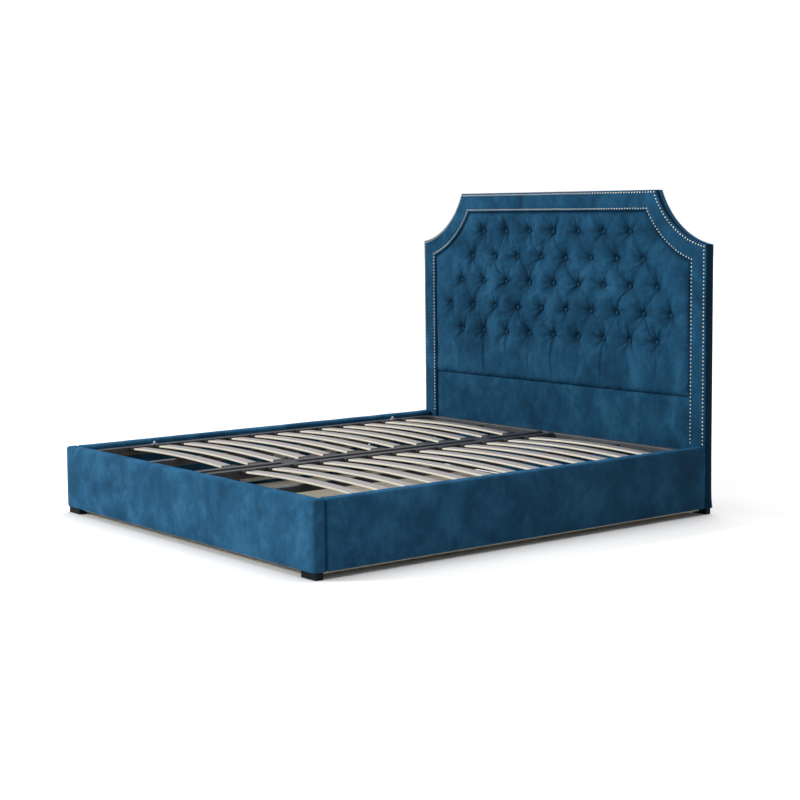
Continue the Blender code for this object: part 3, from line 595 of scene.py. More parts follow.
def tufted_skin(columns, rows):
    """A grid over the tufted panel: its points, how firmly each is held, and its painted shade."""
    x = np.linspace(-1, 1, columns + 1) * (HALF - WINDOW_INSET + 0.0015)
    _, corner = window_top(x)
    for sign in (-1, 1):
        x[np.abs(x - sign * corner).argmin()] = sign * corner
    top, _ = window_top(x)
    top = top + 0.0012
    t = np.linspace(0, 1, rows + 1)[:, None]
    low = SEAM_Z - 0.004
    gx = np.broadcast_to(x, (rows + 1, columns + 1)).ravel()
    gz = (low + (top - low)[None, :] * t).ravel()
    depth, held, painted_shade = tufted_depth(gx, gz)
    edge = np.clip(window_distance(gx, gz), 0, None)
    side_roll = 0.022 * (1 - np.sqrt(1 - (1 - np.clip(edge / 0.034, 0, 1)) ** 2 * 0.999))
    seam_roll = 0.0165 * (1 - np.sqrt(1 - (1 - np.clip((gz - low) / 0.026, 0, 1)) ** 2 * 0.999))
    fade = ease(edge / 0.03) * ease((gz - low) / 0.02)
    y = PAD_SURFACE + depth * fade + np.maximum(side_roll, seam_roll)
    held = np.maximum(held, (edge < 0.010).astype(float))
    held = np.maximum(held, (gz < low + 0.006).astype(float))
    held = np.maximum(held, np.clip(depth / 0.010, 0, 0.9))
    # painted shade where the panel rolls in at the border and at the seam
    painted_shade = np.maximum(painted_shade, 0.75 * np.exp(-edge / 0.012))
    painted_shade = np.maximum(painted_shade, 0.70 * np.exp(-(gz - low) / 0.014))
    return np.stack([gx, y, gz], 1), held, painted_shade


def between_rows(grid, count):
    """Stretch a grid of vectors along its first axis to count rows, in straight lines between its own."""
    place = np.linspace(0, len(grid) - 1, count)
    first = np.minimum(place.astype(int), len(grid) - 2)
    part = (place - first)[:, None, None]
    return grid[first] * (1 - part) + grid[first + 1] * part


def build_tufted_pad():
    """The skin is simulated on a coarse grid, and its movement is carried on to a fine one."""
    columns, rows = 262, 122
    points, held, _ = tufted_skin(columns, rows)
    fine_columns, fine_rows = ((440, 204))
    fine, _, painted_shade = tufted_skin(fine_columns, fine_rows)
    coarse = bpy.data.objects.new("tufting_guide", mesh_from("tufting_guide", points, grid_faces(columns + 1, rows + 1)))
    bpy.context.scene.collection.objects.link(coarse)
    simulate(coarse, held, pressure=2.0, cap=0.0035, shrink=-0.035, stiffness=12.0, bending=0.3)
    after = np.zeros(len(points) * 3)
    coarse.data.vertices.foreach_get("co", after)
    moved = (after.reshape(-1, 3) - points).reshape(rows + 1, columns + 1, 3)
    moved = between_rows(moved, fine_rows + 1).transpose(1, 0, 2)
    fine += between_rows(moved, fine_columns + 1).transpose(1, 0, 2).reshape(-1, 3)
    bpy.data.objects.remove(coarse)
    mesh = mesh_from("headboard_tufting", fine, grid_faces(fine_columns + 1, fine_rows + 1), VELVET_HEAD_SHADED)
    # painted shade carried on the mesh for the velvet to read
    mesh.attributes.new("painted_shade", "FLOAT", "POINT").data.foreach_set("value", painted_shade.astype(np.float32))
    pad = bpy.data.objects.new("headboard_tufting", mesh)
    bpy.context.scene.collection.objects.link(pad)
    close_behind(pad.data, PAD_BACK)
    finish_soft(pad, "base", 0.8, "headboard_tufted_pad")
    build_buttons()


def close_behind(mesh, y):
    """Give an open pad its flat back against the board, as one closed form."""
    bm = bmesh.new()
    bm.from_mesh(mesh)
    rim = [e for e in bm.edges if e.is_boundary]
    made = bmesh.ops.extrude_edge_only(bm, edges=rim)["geom"]
    for item in made:
        if isinstance(item, bmesh.types.BMVert):
            item.co.y = y
    edges = [e for e in bm.edges if e.is_boundary]
    bmesh.ops.contextual_create(bm, geom=edges)
    bmesh.ops.recalc_face_normals(bm, faces=bm.faces)
    bm.to_mesh(mesh)
    bm.free()
    mesh.polygons.foreach_set("use_smooth", [True] * len(mesh.polygons))
    mesh.set_sharp_from_angle(angle=math.radians(70))


def finish_soft(obj, body, fill, *replaces, slot="velvet"):
    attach(obj, body)
    if replaces:
        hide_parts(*replaces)


def build_buttons():
    """Velvet-covered buttons, each sewn to the bottom of its dimple."""
    bm = bmesh.new()
    profile = [(0.0, 0.0072), (0.0010, 0.0090), (0.0024, 0.0098), (0.0036, 0.0092), (0.0048, 0.0077),
               (0.0057, 0.0055), (0.0062, 0.0030), (0.0064, 0.0)]
    lathe(bm, profile, (0, 0, 0), (0, -1, 0), 28)
    mesh = mesh_from_bm("tuft_button", bm, BUTTON_SHADED, sharp=60)
    for i, (x, z, _) in enumerate(tuft_places()):
        button = bpy.data.objects.new(f"tuft_button_{i + 1:02d}", mesh)
        bpy.context.scene.collection.objects.link(button)
        rng = random.Random(100 + i)
        button.location = (x, PAD_SURFACE + BUTTON_DEEP - 0.0008, z)
        button.rotation_euler = (rng.uniform(-0.10, 0.10), rng.uniform(-3, 3), rng.uniform(-0.10, 0.10))
        finish_soft(button, "base", 1.0)


def build_lower_pad():
    """Plain panel under the seam, slightly crowned, tucked under the tufted panel."""
    columns, rows = 230, 76
    low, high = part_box("headboard_lower_pad")
    half = HALF - WINDOW_INSET + 0.0015
    x = np.linspace(-half, half, columns + 1)
    t = np.linspace(0, 1, rows + 1)[:, None]
    gx = np.broadcast_to(x, (rows + 1, columns + 1)).ravel()
    gz = np.broadcast_to(low.z + (SEAM_Z - low.z) * t, (rows + 1, columns + 1)).ravel()
    flat = np.stack([gx, np.zeros_like(gx), gz], 1)
    edge = half - np.abs(gx)
    roll = 0.013 * (1 - np.sqrt(1 - (1 - np.clip(edge / 0.026, 0, 1)) ** 2 * 0.999))
    tuck = 0.008 * (1 - ease((SEAM_Z - gz) / 0.016))
    y = PAD_SURFACE + 0.0085 + np.maximum(roll, tuck)
    y -= ease(edge / 0.05) * (0.0010 * noise_field(flat * np.array((1.0, 1.0, 0.4)), 9.0, 7) + 0.0004 * noise_field(flat, 30.0, 8))
    y -= 0.0012 * np.sin(math.pi * np.clip((gz - 0.28) / (SEAM_Z - 0.28), 0, 1))
    mesh = mesh_from("headboard_plain_panel", np.stack([gx, y, gz], 1), grid_faces(columns + 1, rows + 1), VELVET_HEAD_SHADED)
    pad = bpy.data.objects.new("headboard_plain_panel", mesh)
    bpy.context.scene.collection.objects.link(pad)
    held = ((edge < 0.012) | (gz > SEAM_Z - 0.008) | (gz < low.z + 0.02)).astype(float)
    simulate(pad, held, pressure=1.5, cap=0.0025, shrink=-0.006)
    close_behind(pad.data, PAD_BACK)
    finish_soft(pad, "base", 0.8, "headboard_lower_pad")


def sweep_outline(name, profile, low_z, side_steps, arc_steps, top_steps, *materials, indices=None, wobble=None):
    """Loft a closed profile of (inset, Y) points along the headboard's outline."""
    paths = [arch_path(inset, low_z, side_steps, arc_steps, top_steps) for inset, _ in profile]
    count = len(paths[0])
    points = [(paths[k][i][0], y, paths[k][i][1]) for i in range(count) for k, (_, y) in enumerate(profile)]
    points = np.array(points)
    if wobble:
        points = wobble(points)
    size = len(profile)
    faces = grid_faces(size, count, close_columns=True)
    material_indices = [indices(i % size, i // size) for i in range(len(faces))] if indices else None
    faces += [tuple(range(size)), tuple(range((count - 1) * size, count * size))]
    if material_indices:
        material_indices += [0, 0]
    return mesh_from(name, points, faces, *materials, indices=material_indices, sharp=50)


def build_border():
    """Velvet band round the headboard: wrapped over the edge to the back, held by two rows of nails."""
    f = FRONT
    profile = [(0.030, BACK - 0.0062), (0.024, BACK - 0.0030), (0.012, BACK - 0.0012), (0.0045, BACK - 0.0003),
               (0.0016, BACK - 0.0010), (0.0003, BACK - 0.0035), (0.0, BACK - 0.010), (-0.0004, BACK - 0.026),
               (0.0, f + 0.013), (0.0004, f + 0.0075), (0.0018, f + 0.0040), (0.0042, f + 0.0022),
               (0.0072, f + 0.0019), (0.010, f + 0.0023), (0.0130, f + 0.0017), (0.020, f + 0.0003),
               (0.031, f - 0.0007), (0.0455, f - 0.0011), (0.060, f - 0.0007), (0.071, f + 0.0003),
               (0.078, f + 0.0017), (0.081, f + 0.0023), (0.0838, f + 0.0018), (0.0868, f + 0.0022),
               (0.0888, f + 0.0042), (0.0898, f + 0.0075), (0.0900, f + 0.014), (0.0900, PAD_BACK - 0.0005),
               (0.0600, PAD_BACK - 0.0003), (0.0086, PAD_BACK + 0.001), (0.0086, BACK - 0.0062)]

    def wobble(points):
        front = ease((f + 0.006 - points[:, 1]) / 0.004)
        points[:, 1] -= front * 0.0007 * noise_field(points, 16.0, 11)
        side = (points[:, 1] > f + 0.008) & (points[:, 1] < BACK - 0.004)
        sway = 0.0005 * noise_field(points, 11.0, 12) * side
        flare = 0.0075 * np.exp(-(points[:, 2] - SKIRT) / 0.035) * ease((points[:, 1] - BACK + 0.040) / 0.030)
        points[:, 0] += (sway + flare) * np.sign(points[:, 0])
        return points

    def sides(k, step):
        """Painted shade on the side faces from a near-black velvet copy; the arches and the top keep a painted lit
        strip along their back edge.
        """
        return int((4 if step < 40 or step >= 40 + 26 + 52 + 26 else 7) <= k <= 8)

    mesh = sweep_outline("headboard_border_wrap", profile, SKIRT, 40, 26, 52, VELVET_HEAD_SHADED, VELVET_SIDE_SHADE,
                         indices=sides, wobble=wobble)
    border = bpy.data.objects.new("headboard_border_wrap", mesh)
    bpy.context.scene.collection.objects.link(border)
    finish_soft(border, "base", 0.9, "headboard_border")


def segment_points(a, b, pitch):
    """Points from a to before b, evenly spaced near a pitch."""
    length = math.dist(a, b)
    count = max(1, round(length / pitch))
    return [(a[0] + (b[0] - a[0]) * i / count, a[1] + (b[1] - a[1]) * i / count) for i in range(count)]


def nail_places(inset, low_z):
    """Places of one row of nails, with a nail at every corner."""
    radius, shoulder, crown = arch_corners(inset)
    start = (HALF - inset, low_z)
    ends = arc_points(ARCH_CENTRE, radius, shoulder, crown, 1)
    count = round(radius * math.radians(abs(crown - shoulder)) / NAIL_PITCH)
    half = segment_points(start, ends[0], NAIL_PITCH) + arc_points(ARCH_CENTRE, radius, shoulder, crown, count)
    top = segment_points(ends[1], (-ends[1][0], ends[1][1]), NAIL_PITCH)[1:]
    return half + top + [(-x, z) for x, z in reversed(half)]


def build_nails():
    """Domed upholstery nails, a hair irregular in height and turn."""
    for name, inset in (("outer", 0.010), ("inner", 0.081)):
        low_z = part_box("nail_trim_" + name)[0].z
        rng = random.Random(7)
        bm = bmesh.new()
        for x, z in nail_places(inset, low_z + 0.004):
            r = 0.0034 * rng.uniform(0.96, 1.03)
            profile = [(-0.0012, r * 0.80), (0.0, r * 0.97), (0.0004, r), (0.0010, r * 0.965), (0.0018, r * 0.82),
                       (0.0025, r * 0.58), (0.0029, r * 0.30), (0.00302, 0.0)]
            tip = (rng.uniform(-0.07, 0.07), -1.0, rng.uniform(-0.07, 0.07))
            lathe(bm, profile, (x + rng.uniform(-0.0004, 0.0004), FRONT + 0.0014, z + rng.uniform(-0.0004, 0.0004)),
                  tip, 14)
        link("headboard_nails_" + name, mesh_from_bm("headboard_nails_" + name, bm, NAIL, sharp=80), "base",
             ("nail_trim_" + name,))


def build_back():
    """Black lining stretched over the headboard's back, its folded hem stapled on the velvet's edge."""
    inset = 0.016
    y = BACK - 0.0016
    columns, rows = 96, 70
    radius, _, crown = arch_corners(inset)
    corner = abs(ARCH_CENTRE[0] + radius * math.cos(math.radians(crown)))
    x = np.linspace(-(HALF - inset), HALF - inset, columns + 1)
    for sign in (-1, 1):
        x[np.abs(x - sign * corner).argmin()] = sign * corner
    top = np.full_like(x, TOP - inset)
    over = np.abs(x) > corner + 1e-6
    top[over] = ARCH_CENTRE[1] - np.sqrt(radius**2 - (np.abs(x[over]) - ARCH_CENTRE[0])**2)
    low = SKIRT + 0.004
    t = np.linspace(0, 1, rows + 1)[:, None]
    gx = np.broadcast_to(x, (rows + 1, columns + 1)).ravel()
    gz = (low + (top - low)[None, :] * t).ravel()
    flat = np.stack([gx, np.zeros_like(gx), gz], 1)
    edge = np.minimum(np.minimum(HALF - inset - np.abs(gx), TOP - inset - gz), gz - low)
    edge = np.clip(np.minimum(edge, np.hypot(np.abs(gx) - ARCH_CENTRE[0], gz - ARCH_CENTRE[1]) - radius), 0, None)
    hem = 1 - ease((edge - 0.012) / 0.005)
    gy = y - 0.0022 * (1 - hem) + 0.0004 * noise_field(flat, 12.0, 21) * (1 - hem) + 0.0003 * noise_field(flat, 40.0, 22)
    gy -= 0.0006 * np.sin(edge / 0.0017 * 0.35) * hem
    front = np.stack([gx, gy, gz], 1)
    back = front - np.array((0, 0.0007, 0))
    faces = grid_faces(columns + 1, rows + 1)
    mesh = mesh_from("headboard_back_cloth", front, faces, LINING)
    lining = link("headboard_back_cloth", mesh, "base", ("headboard_back_lining",))
    thick = lining.modifiers.new("thickness", "SOLIDIFY")
    thick.thickness = 0.0008
    thick.offset = -1.0 if mesh.polygons[0].normal.y > 0 else 1.0
    bm = bmesh.new()
    rng = random.Random(5)
    path = nail_path(inset + 0.007, low + 0.03, 0.062)
    for (px, pz), angle in path:
        add_staple(bm, Vector((px, y + 0.0006, pz)), angle + rng.uniform(-0.25, 0.25))
    link("headboard_back_staples", mesh_from_bm("headboard_back_staples", bm, ZINC, sharp=50), "base")


def nail_path(inset, low_z, pitch):
    """Evenly spaced places along the headboard's outline with the outline's direction."""
    path = arch_path(inset, low_z, 1, 14, 2)
    places = []
    carry = pitch / 2
    for a, b in zip(path, path[1:]):
        length = math.dist(a, b)
        while carry < length:
            t = carry / length
            places.append(((a[0] + (b[0] - a[0]) * t, a[1] + (b[1] - a[1]) * t), math.atan2(b[1] - a[1], b[0] - a[0])))
            carry += pitch
        carry -= length
    return places


def add_staple(bm, centre, angle):
    """A staple's crown, 10 mm wide, with its legs going into the board."""
    along = Vector((math.cos(angle), 0, math.sin(angle)))
    across = Vector((-math.sin(angle), 0, math.cos(angle)))
    rings = []
    for d, rise in ((-0.0052, -0.0016), (-0.0051, 0.0002), (-0.0046, 0.0007), (0.0046, 0.0007), (0.0051, 0.0002),
                    (0.0052, -0.0016)):
        middle = centre + along * d + Vector((0, rise, 0))
        wide, thick = 0.0006, 0.00035
        inward = Vector((0, 1, 0)) if abs(d) < 0.005 else along * (1 if d > 0 else -1)
        rings.append([bm.verts.new(middle + across * a * wide + inward * b * thick)
                      for a, b in ((-1, -1), (1, -1), (1, 1), (-1, 1))])
    for a, b in zip(rings, rings[1:]):
        for i in range(4):
            bm.faces.new((a[i], a[(i + 1) % 4], b[(i + 1) % 4], b[i]))
    bm.faces.new(rings[0])
    bm.faces.new(rings[-1])


# ---------------------------------------------------------------- padded base panels
def graded(low, high, radius, step, arc=4):
    """Coordinates from low to high, close together inside each end's rounding."""
    bend = [radius * (1 - math.tan(math.radians(45 * (1 - i / arc)))) for i in range(arc + 1)]
    count = max(2, round((high - low - 2 * radius) / step))
    middle = [low + radius + (high - low - 2 * radius) * i / count for i in range(1, count)]
    return np.array([low + b for b in bend] + middle + [high - b for b in reversed(bend)])


def box_skin(xs, ys, zs):
    """Closed grid over a box's six sides: integer grid places, and quads."""
    index = {}
    points = []

    def at(i, j, k):
        if (i, j, k) not in index:
            index[i, j, k] = len(points)
            points.append((xs[i], ys[j], zs[k]))
        return index[i, j, k]

    faces = []
    sizes = (len(xs) - 1, len(ys) - 1, len(zs) - 1)
    for axis in range(3):
        u, v = [a for a in range(3) if a != axis]
        for end in (0, sizes[axis]):
            for a in range(sizes[u]):
                for b in range(sizes[v]):
                    quad = []
                    for da, db in ((0, 0), (1, 0), (1, 1), (0, 1)):
                        cell = [0, 0, 0]
                        cell[axis], cell[u], cell[v] = end, a + da, b + db
                        quad.append(at(*cell))
                    faces.append(tuple(quad))
    return np.array(points), faces


def round_plan(points, low, high, front, back):
    """Round the upright edges: one radius for the -Y ones, one for the +Y ones."""
    out = points.copy()
    for sx, x_end in ((-1, low[0]), (1, high[0])):
        for sy, y_end, radius in ((-1, low[1], front), (1, high[1], back)):
            cx, cy = x_end - sx * radius, y_end - sy * radius
            d = np.stack([(points[:, 0] - cx) * sx, (points[:, 1] - cy) * sy], 1)
            zone = (d > 0).all(1)
            size = d[zone].max(1, keepdims=True)
            turned = d[zone] / np.maximum(np.linalg.norm(d[zone], axis=1, keepdims=True), 1e-9) * size
            out[zone, 0] = cx + sx * turned[:, 0]
            out[zone, 1] = cy + sy * turned[:, 1]
    return out


def plan_edge(points, low, high, front, back):
    """Distance inside the rounded plan outline, and the outward direction there."""
    middle = (np.array(low) + np.array(high)) / 2
    half = (np.array(high) - np.array(low))[:2] / 2
    radius = np.where(points[:, 1] < middle[1], front, back)[:, None]
    p = points[:, :2] - middle[:2]
    sign = np.where(p < 0, -1.0, 1.0)
    d = np.abs(p) - half + radius
    corner = (d > 0).all(1)
    length = np.linalg.norm(np.maximum(d, 0), axis=1)
    inside = radius[:, 0] - np.where(corner, length, d.max(1))
    axis = np.eye(2)[d.argmax(1)]
    normal = np.where(corner[:, None], np.maximum(d, 0) / np.maximum(length, 1e-9)[:, None], axis) * sign
    return inside, normal


def padded_panel(name, low, high, front, back, top, node, seed, face_axis, crown=0.0022):
    """A board in a padded velvet sleeve: rounded edges, a slight crown, a turned hem underneath, and painted shade on
    its side faces.
    """
    arc = 4
    step = 0.014
    thin = 1 - face_axis
    spans = [graded(low[a], high[a], max(front, back) if a == face_axis and front > 0.02 else min(front, back),
                    step if a == face_axis or a == 2 else 0.008, arc) for a in (0, 1)]
    heights = graded(low[2], high[2], top, step, arc)
    points, faces = box_skin(spans[0], spans[1], heights)
    points = round_plan(points, low, high, front, back)
    inside, normal = plan_edge(points, low, high, front, back)
    for sign, end, radius in ((1, high[2], top), (-1, low[2], 0.004)):
        depth = (end - points[:, 2]) * sign
        d = np.stack([radius - inside, radius - depth], 1)
        zone = (d > 0).all(1)
        size = d[zone].max(1, keepdims=True)
        turned = d[zone] / np.maximum(np.linalg.norm(d[zone], axis=1, keepdims=True), 1e-9) * size
        shift = (radius - turned[:, 0]) - inside[zone]
        points[zone, :2] -= normal[zone] * shift[:, None]
        points[zone, 2] = end - sign * (radius - turned[:, 1])
    height = (points[:, 2] - low[2]) / (high[2] - low[2])
    along = (points[:, face_axis] - low[face_axis]) / (high[face_axis] - low[face_axis])
    wall = np.abs(normal[:, thin]) * ease((0.006 - inside) / 0.006)
    swell = (1 - np.abs(2 * height - 1) ** 4) * (1 - np.abs(2 * along - 1) ** 24)
    ripple = 0.55 * noise_field(points * np.array((1, 1, 0.6)), 7.0, seed) + 0.25 * noise_field(points, 18.0, seed + 1)
    shift = wall * (crown * swell + 0.0016 * ripple * ease(height / 0.08))
    hem = np.exp(-((points[:, 2] - low[2] - 0.010) / 0.0022) ** 2) * wall * 0.0006
    points[:, :2] += normal * (shift - hem)[:, None]
    crest = ease((points[:, 2] - high[2] + 0.004) / 0.004)
    points[:, 2] += crest * 0.0011 * noise_field(points, 11.0, seed + 2)
    mesh = mesh_from(name, points, faces, VELVET)
    below_edge = ease((high[2] - points[:, 2] + 0.002) / 0.008)
    # painted shade: the rails' outer faces darker, more so towards the head; the foot panel's end faces darker
    if face_axis == 1:
        painted_side_shade = ease((normal[:, 0] * np.sign(low[0] + high[0]) - 0.3) / 0.5) * below_edge * (0.30 + 0.34 * along)
    else:
        # painted shade in the gap where the foot panel's end meets the rail
        gap = ease((points[:, 1] - high[1] + 0.016) / 0.012)
        painted_side_shade = ease((np.abs(normal[:, 0]) - 0.55) / 0.4) * (below_edge * 0.30 + gap * 0.60)
    mesh.attributes.new("painted_shade", "FLOAT", "POINT").data.foreach_set("value", painted_side_shade.astype(np.float32))
    panel = bpy.data.objects.new(name, mesh)
    bpy.context.scene.collection.objects.link(panel)
    held = np.where(points[:, 2] < low[2] + 0.012, 1.0, 0.0)
    held = np.maximum(held, np.where((along < 0.006) | (along > 0.994), 0.8, 0.0))
    simulate(panel, held, pressure=3.0, cap=0.0022, shrink=-0.004, stiffness=20.0)
    subdivide(panel)
    finish_soft(panel, "base", 0.9, node)


def build_base_panels():
    low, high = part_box("foot_panel_cover")
    padded_panel("foot_panel_upholstery", low, high, 0.026, 0.010, 0.0125, "foot_panel_cover", 40, 0)
    for side in SIDES:
        low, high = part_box(f"side_rail_{side}_cover")
        padded_panel(f"side_rail_{side}_upholstery", low, high, 0.0095, 0.0095, 0.0125,
                     f"side_rail_{side}_cover", 50 if side == "left" else 60, 1)


# ---------------------------------------------------------------- lifting platform
def rounded_section(wide, tall, radius, steps=4):
    """Closed rounded rectangle about the origin, anticlockwise."""
    points = []
    for i, (sx, sy) in enumerate(((1, 1), (-1, 1), (-1, -1), (1, -1))):
        points += arc_points((sx * (wide / 2 - radius), sy * (tall / 2 - radius)), radius, 90 * i, 90 * i + 90, steps)
    return points


def straight_tube(bm, x, y_ends, z, wide, tall, radius=0.0035):
    section = rounded_section(wide, tall, radius)
    rings = [[bm.verts.new((x + a, y, z + b)) for a, b in section] for y in y_ends]
    count = len(section)
    for i in range(count):
        bm.faces.new((rings[0][i], rings[0][(i + 1) % count], rings[1][(i + 1) % count], rings[1][i]))
    bm.faces.new(rings[0])
    bm.faces.new(rings[1])


def ring_tube(bm, low, high, bend, z, wide, tall, radius=0.0035, steps=14):
    """Tube bent round a rounded rectangle, its outer face on the given corners."""
    section = rounded_section(wide, tall, radius)
    path = []
    inner = bend
    for i, (sx, sy) in enumerate(((1, 1), (-1, 1), (-1, -1), (1, -1))):
        cx = (high[0] if sx > 0 else low[0]) - sx * inner
        cy = (high[1] if sy > 0 else low[1]) - sy * inner
        for k in range(steps + 1):
            angle = math.radians(90 * i + 90 * k / steps)
            path.append(((cx, cy), (math.cos(angle), math.sin(angle))))
    rings = []
    for (cx, cy), (dx, dy) in path:
        rings.append([bm.verts.new((cx + dx * (inner - wide / 2 + a), cy + dy * (inner - wide / 2 + a), z + b))
                      for a, b in section])
    count = len(section)
    for r, ring in enumerate(rings):
        following = rings[(r + 1) % len(rings)]
        for i in range(count):
            bm.faces.new((ring[i], ring[(i + 1) % count], following[(i + 1) % count], following[i]))


def weld_bead(bm, a, b, radius, rng, pitch=0.0032):
    """A row of overlapping weld scallops from a to b."""
    a, b = Vector(a), Vector(b)
    count = max(2, round((b - a).length / pitch))
    for i in range(count + 1):
        place = Matrix.Translation(a.lerp(b, i / count)) @ Matrix.Scale(rng.uniform(0.85, 1.1), 4)
        bmesh.ops.create_icosphere(bm, subdivisions=1, radius=radius, matrix=place)


DECK_LOW, DECK_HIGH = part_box("platform_frame")
DECK_TOP = DECK_HIGH.z
TUBE_WIDE, TUBE_TALL = 0.030, 0.040
DECK_BEND = 0.090
CENTRE_TUBE_X, MID_TUBE_X, MID_TUBE_TALL = 0.040, 0.475, 0.030
TIE_PLATES_Y = {"foot": -0.500, "head": 0.580}


def build_platform():
    middle_z = DECK_TOP - TUBE_TALL / 2
    bm = bmesh.new()
    ring_tube(bm, DECK_LOW, DECK_HIGH, DECK_BEND, middle_z, TUBE_WIDE, TUBE_TALL)
    link("platform_perimeter_tube", mesh_from_bm("platform_perimeter_tube", bm, FRAME_STEEL, sharp=50), "platform",
         ("platform_frame",))
    start, end = DECK_LOW.y + TUBE_WIDE - 0.001, DECK_HIGH.y - TUBE_WIDE + 0.001
    rng = random.Random(3)
    beads = bmesh.new()
    for side, sign in SIDES.items():
        for name, x, tall in (("centre", CENTRE_TUBE_X, TUBE_TALL), ("middle", MID_TUBE_X, MID_TUBE_TALL)):
            z = DECK_TOP - TUBE_TALL + tall / 2
            bm = bmesh.new()
            straight_tube(bm, sign * x, (start, end), z, TUBE_WIDE, tall)
            full = f"platform_{name}_tube_{side}"
            link(full, mesh_from_bm(full, bm, FRAME_STEEL, sharp=50), "platform")
            for y in (start + 0.0012, end - 0.0012):
                for edge in (-1, 1):
                    bx = sign * x + edge * (TUBE_WIDE / 2 + 0.0004)
                    weld_bead(beads, (bx, y, z - tall / 2 + 0.003), (bx, y, z + tall / 2 - 0.003), 0.0026, rng)
    for name, y in TIE_PLATES_Y.items():
        bm = bmesh.new()
        x = CENTRE_TUBE_X - TUBE_WIDE / 2 + 0.001
        bevelled_box(bm, (-x, y - 0.035, DECK_TOP - 0.0068), (x, y + 0.035, DECK_TOP - 0.0012), 0.0008)
        link(f"platform_tie_plate_{name}", mesh_from_bm("tie_plate", bm, FRAME_STEEL), "platform")
        for edge in (-1, 1):
            bx = edge * (x - 0.0006)
            weld_bead(beads, (bx, y - 0.031, DECK_TOP - 0.0010), (bx, y + 0.031, DECK_TOP - 0.0010), 0.0020, rng)
    link("platform_weld_beads", mesh_from_bm("platform_weld_beads", beads, FRAME_STEEL, sharp=60), "platform")
    build_slats()
    build_guides()


def slat_mesh(ends, thick, wide, rise):
    """A laminated, steam-bent slat with softened long edges; its faces and its sawn edges differ."""
    r = 0.0018
    section = rounded_section(wide, thick, r, 3)
    stations = 28
    points, faces, indices = [], [], []
    centre, half = sum(ends) / 2, (ends[1] - ends[0]) / 2
    count = len(section)
    for s in range(stations + 1):
        x = ends[0] + (ends[1] - ends[0]) * s / stations
        lift = rise * (1 - ((x - centre) / half) ** 2)
        points += [(x, a, thick / 2 + b + lift) for a, b in section]
    for s in range(stations):
        for i in range(count):
            j = (i + 1) % count
            faces.append((s * count + i, s * count + j, (s + 1) * count + j, (s + 1) * count + i))
            edge = abs(section[i][0]) > wide / 2 - r * 0.75 and abs(section[j][0]) > wide / 2 - r * 0.75
            indices.append(1 if edge else 0)
    faces += [tuple(range(count)), tuple(range(stations * count, (stations + 1) * count))]
    return mesh_from("slat", points, faces, BIRCH, PLY_EDGE, indices=indices + [1, 1], sharp=60)


def holder_mesh(direction):
    """Plastic sleeve over a slat's end: open mouth with a raised lip, closed at the tube."""
    bm = bmesh.new()
    length = 0.034
    outer = [(0.0, 0.0310, 0.0075), (0.0022, 0.0322, 0.0084), (length - 0.0035, 0.0322, 0.0084),
             (length - 0.0030, 0.0334, 0.0096), (length - 0.0003, 0.0334, 0.0096), (length, 0.0328, 0.0090)]
    inner = [(length - 0.0002, 0.0296, 0.0052), (0.006, 0.0292, 0.0048)]
    rings = []
    for x, wide, tall in outer + inner:
        section = rounded_section(2 * wide, 2 * tall, 0.0032)
        rings.append([bm.verts.new((direction * x, a, b)) for a, b in section])
    count = len(rings[0])
    for a, b in zip(rings, rings[1:]):
        for i in range(count):
            bm.faces.new((a[i], a[(i + 1) % count], b[(i + 1) % count], b[i]))
    bm.faces.new(rings[0])
    bm.faces.new(rings[-1])
    return mesh_from_bm("slat_holder", bm, HOLDER, sharp=40)


def build_slats():
    low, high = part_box("slat_right_01")
    wide = high.y - low.y
    thick = 0.008
    rise = high.z - low.z - thick
    holders = {1: holder_mesh(1), -1: holder_mesh(-1)}
    for side, sign in SIDES.items():
        names = sorted(n for n in NODES if n.startswith(f"slat_{side}_"))
        for name in names:
            low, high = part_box(name)
            mesh = slat_mesh((low.x, high.x), thick, wide, rise)
            mesh.name = name + "_bent"
            mesh.transform(Matrix.Translation((0, (low.y + high.y) / 2, low.z)))
            link(name + "_bent", mesh, "platform", (name,))
            inner_x, outer_x = (low.x, high.x) if sign > 0 else (high.x, low.x)
            tube_in = sign * (CENTRE_TUBE_X + TUBE_WIDE / 2)
            tube_out = sign * (DECK_HIGH.x - TUBE_WIDE)
            for place, x, direction in (("inner", tube_in, sign), ("outer", tube_out, -sign)):
                holder = bpy.data.objects.new(f"{name}_holder_{place}", holders[direction])
                bpy.context.scene.collection.objects.link(holder)
                holder.location = (x, (low.y + high.y) / 2, low.z + thick / 2 + 0.0004)
                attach(holder, "platform")


def build_guides():
    """Upright mattress guides on the side tubes: a steel pin on a small foot, with a white plastic tip."""
    for side, sign in SIDES.items():
        for end, y in (("foot", -0.645), ("head", 0.735)):
            x = sign * (DECK_HIGH.x - TUBE_WIDE / 2)
            bm = bmesh.new()
            bevelled_box(bm, (x - 0.010, y - 0.016, DECK_TOP - 0.0002), (x + 0.010, y + 0.016, DECK_TOP + 0.0016), 0.0006)
            lathe(bm, [(0, 0.0034), (0.0016, 0.0032), (0.0022, 0.0024), (0.0060, 0.0022)], (x, y, DECK_TOP + 0.0014), (0, 0, 1), 16)
            for dy in (-0.0105, 0.0105):
                lathe(bm, [(0, 0.0030), (0.0007, 0.0028), (0.0011, 0.0018), (0.0012, 0.0)],
                      (x, y + dy, DECK_TOP + 0.0015), (0, 0, 1), 16)
            name = f"mattress_guide_{side}_{end}"
            link(name, mesh_from_bm(name, bm, ZINC), "platform")
            bm = bmesh.new()
            lathe(bm, [(0, 0.0046), (0.0010, 0.0054), (0.0042, 0.0050), (0.0080, 0.0036), (0.0100, 0.0020),
                       (0.0106, 0.0)], (x, y, DECK_TOP + 0.0030), (0, 0, 1), 20)
            link(name + "_tip", mesh_from_bm(name + "_tip", bm, GUIDE, sharp=60), "platform")


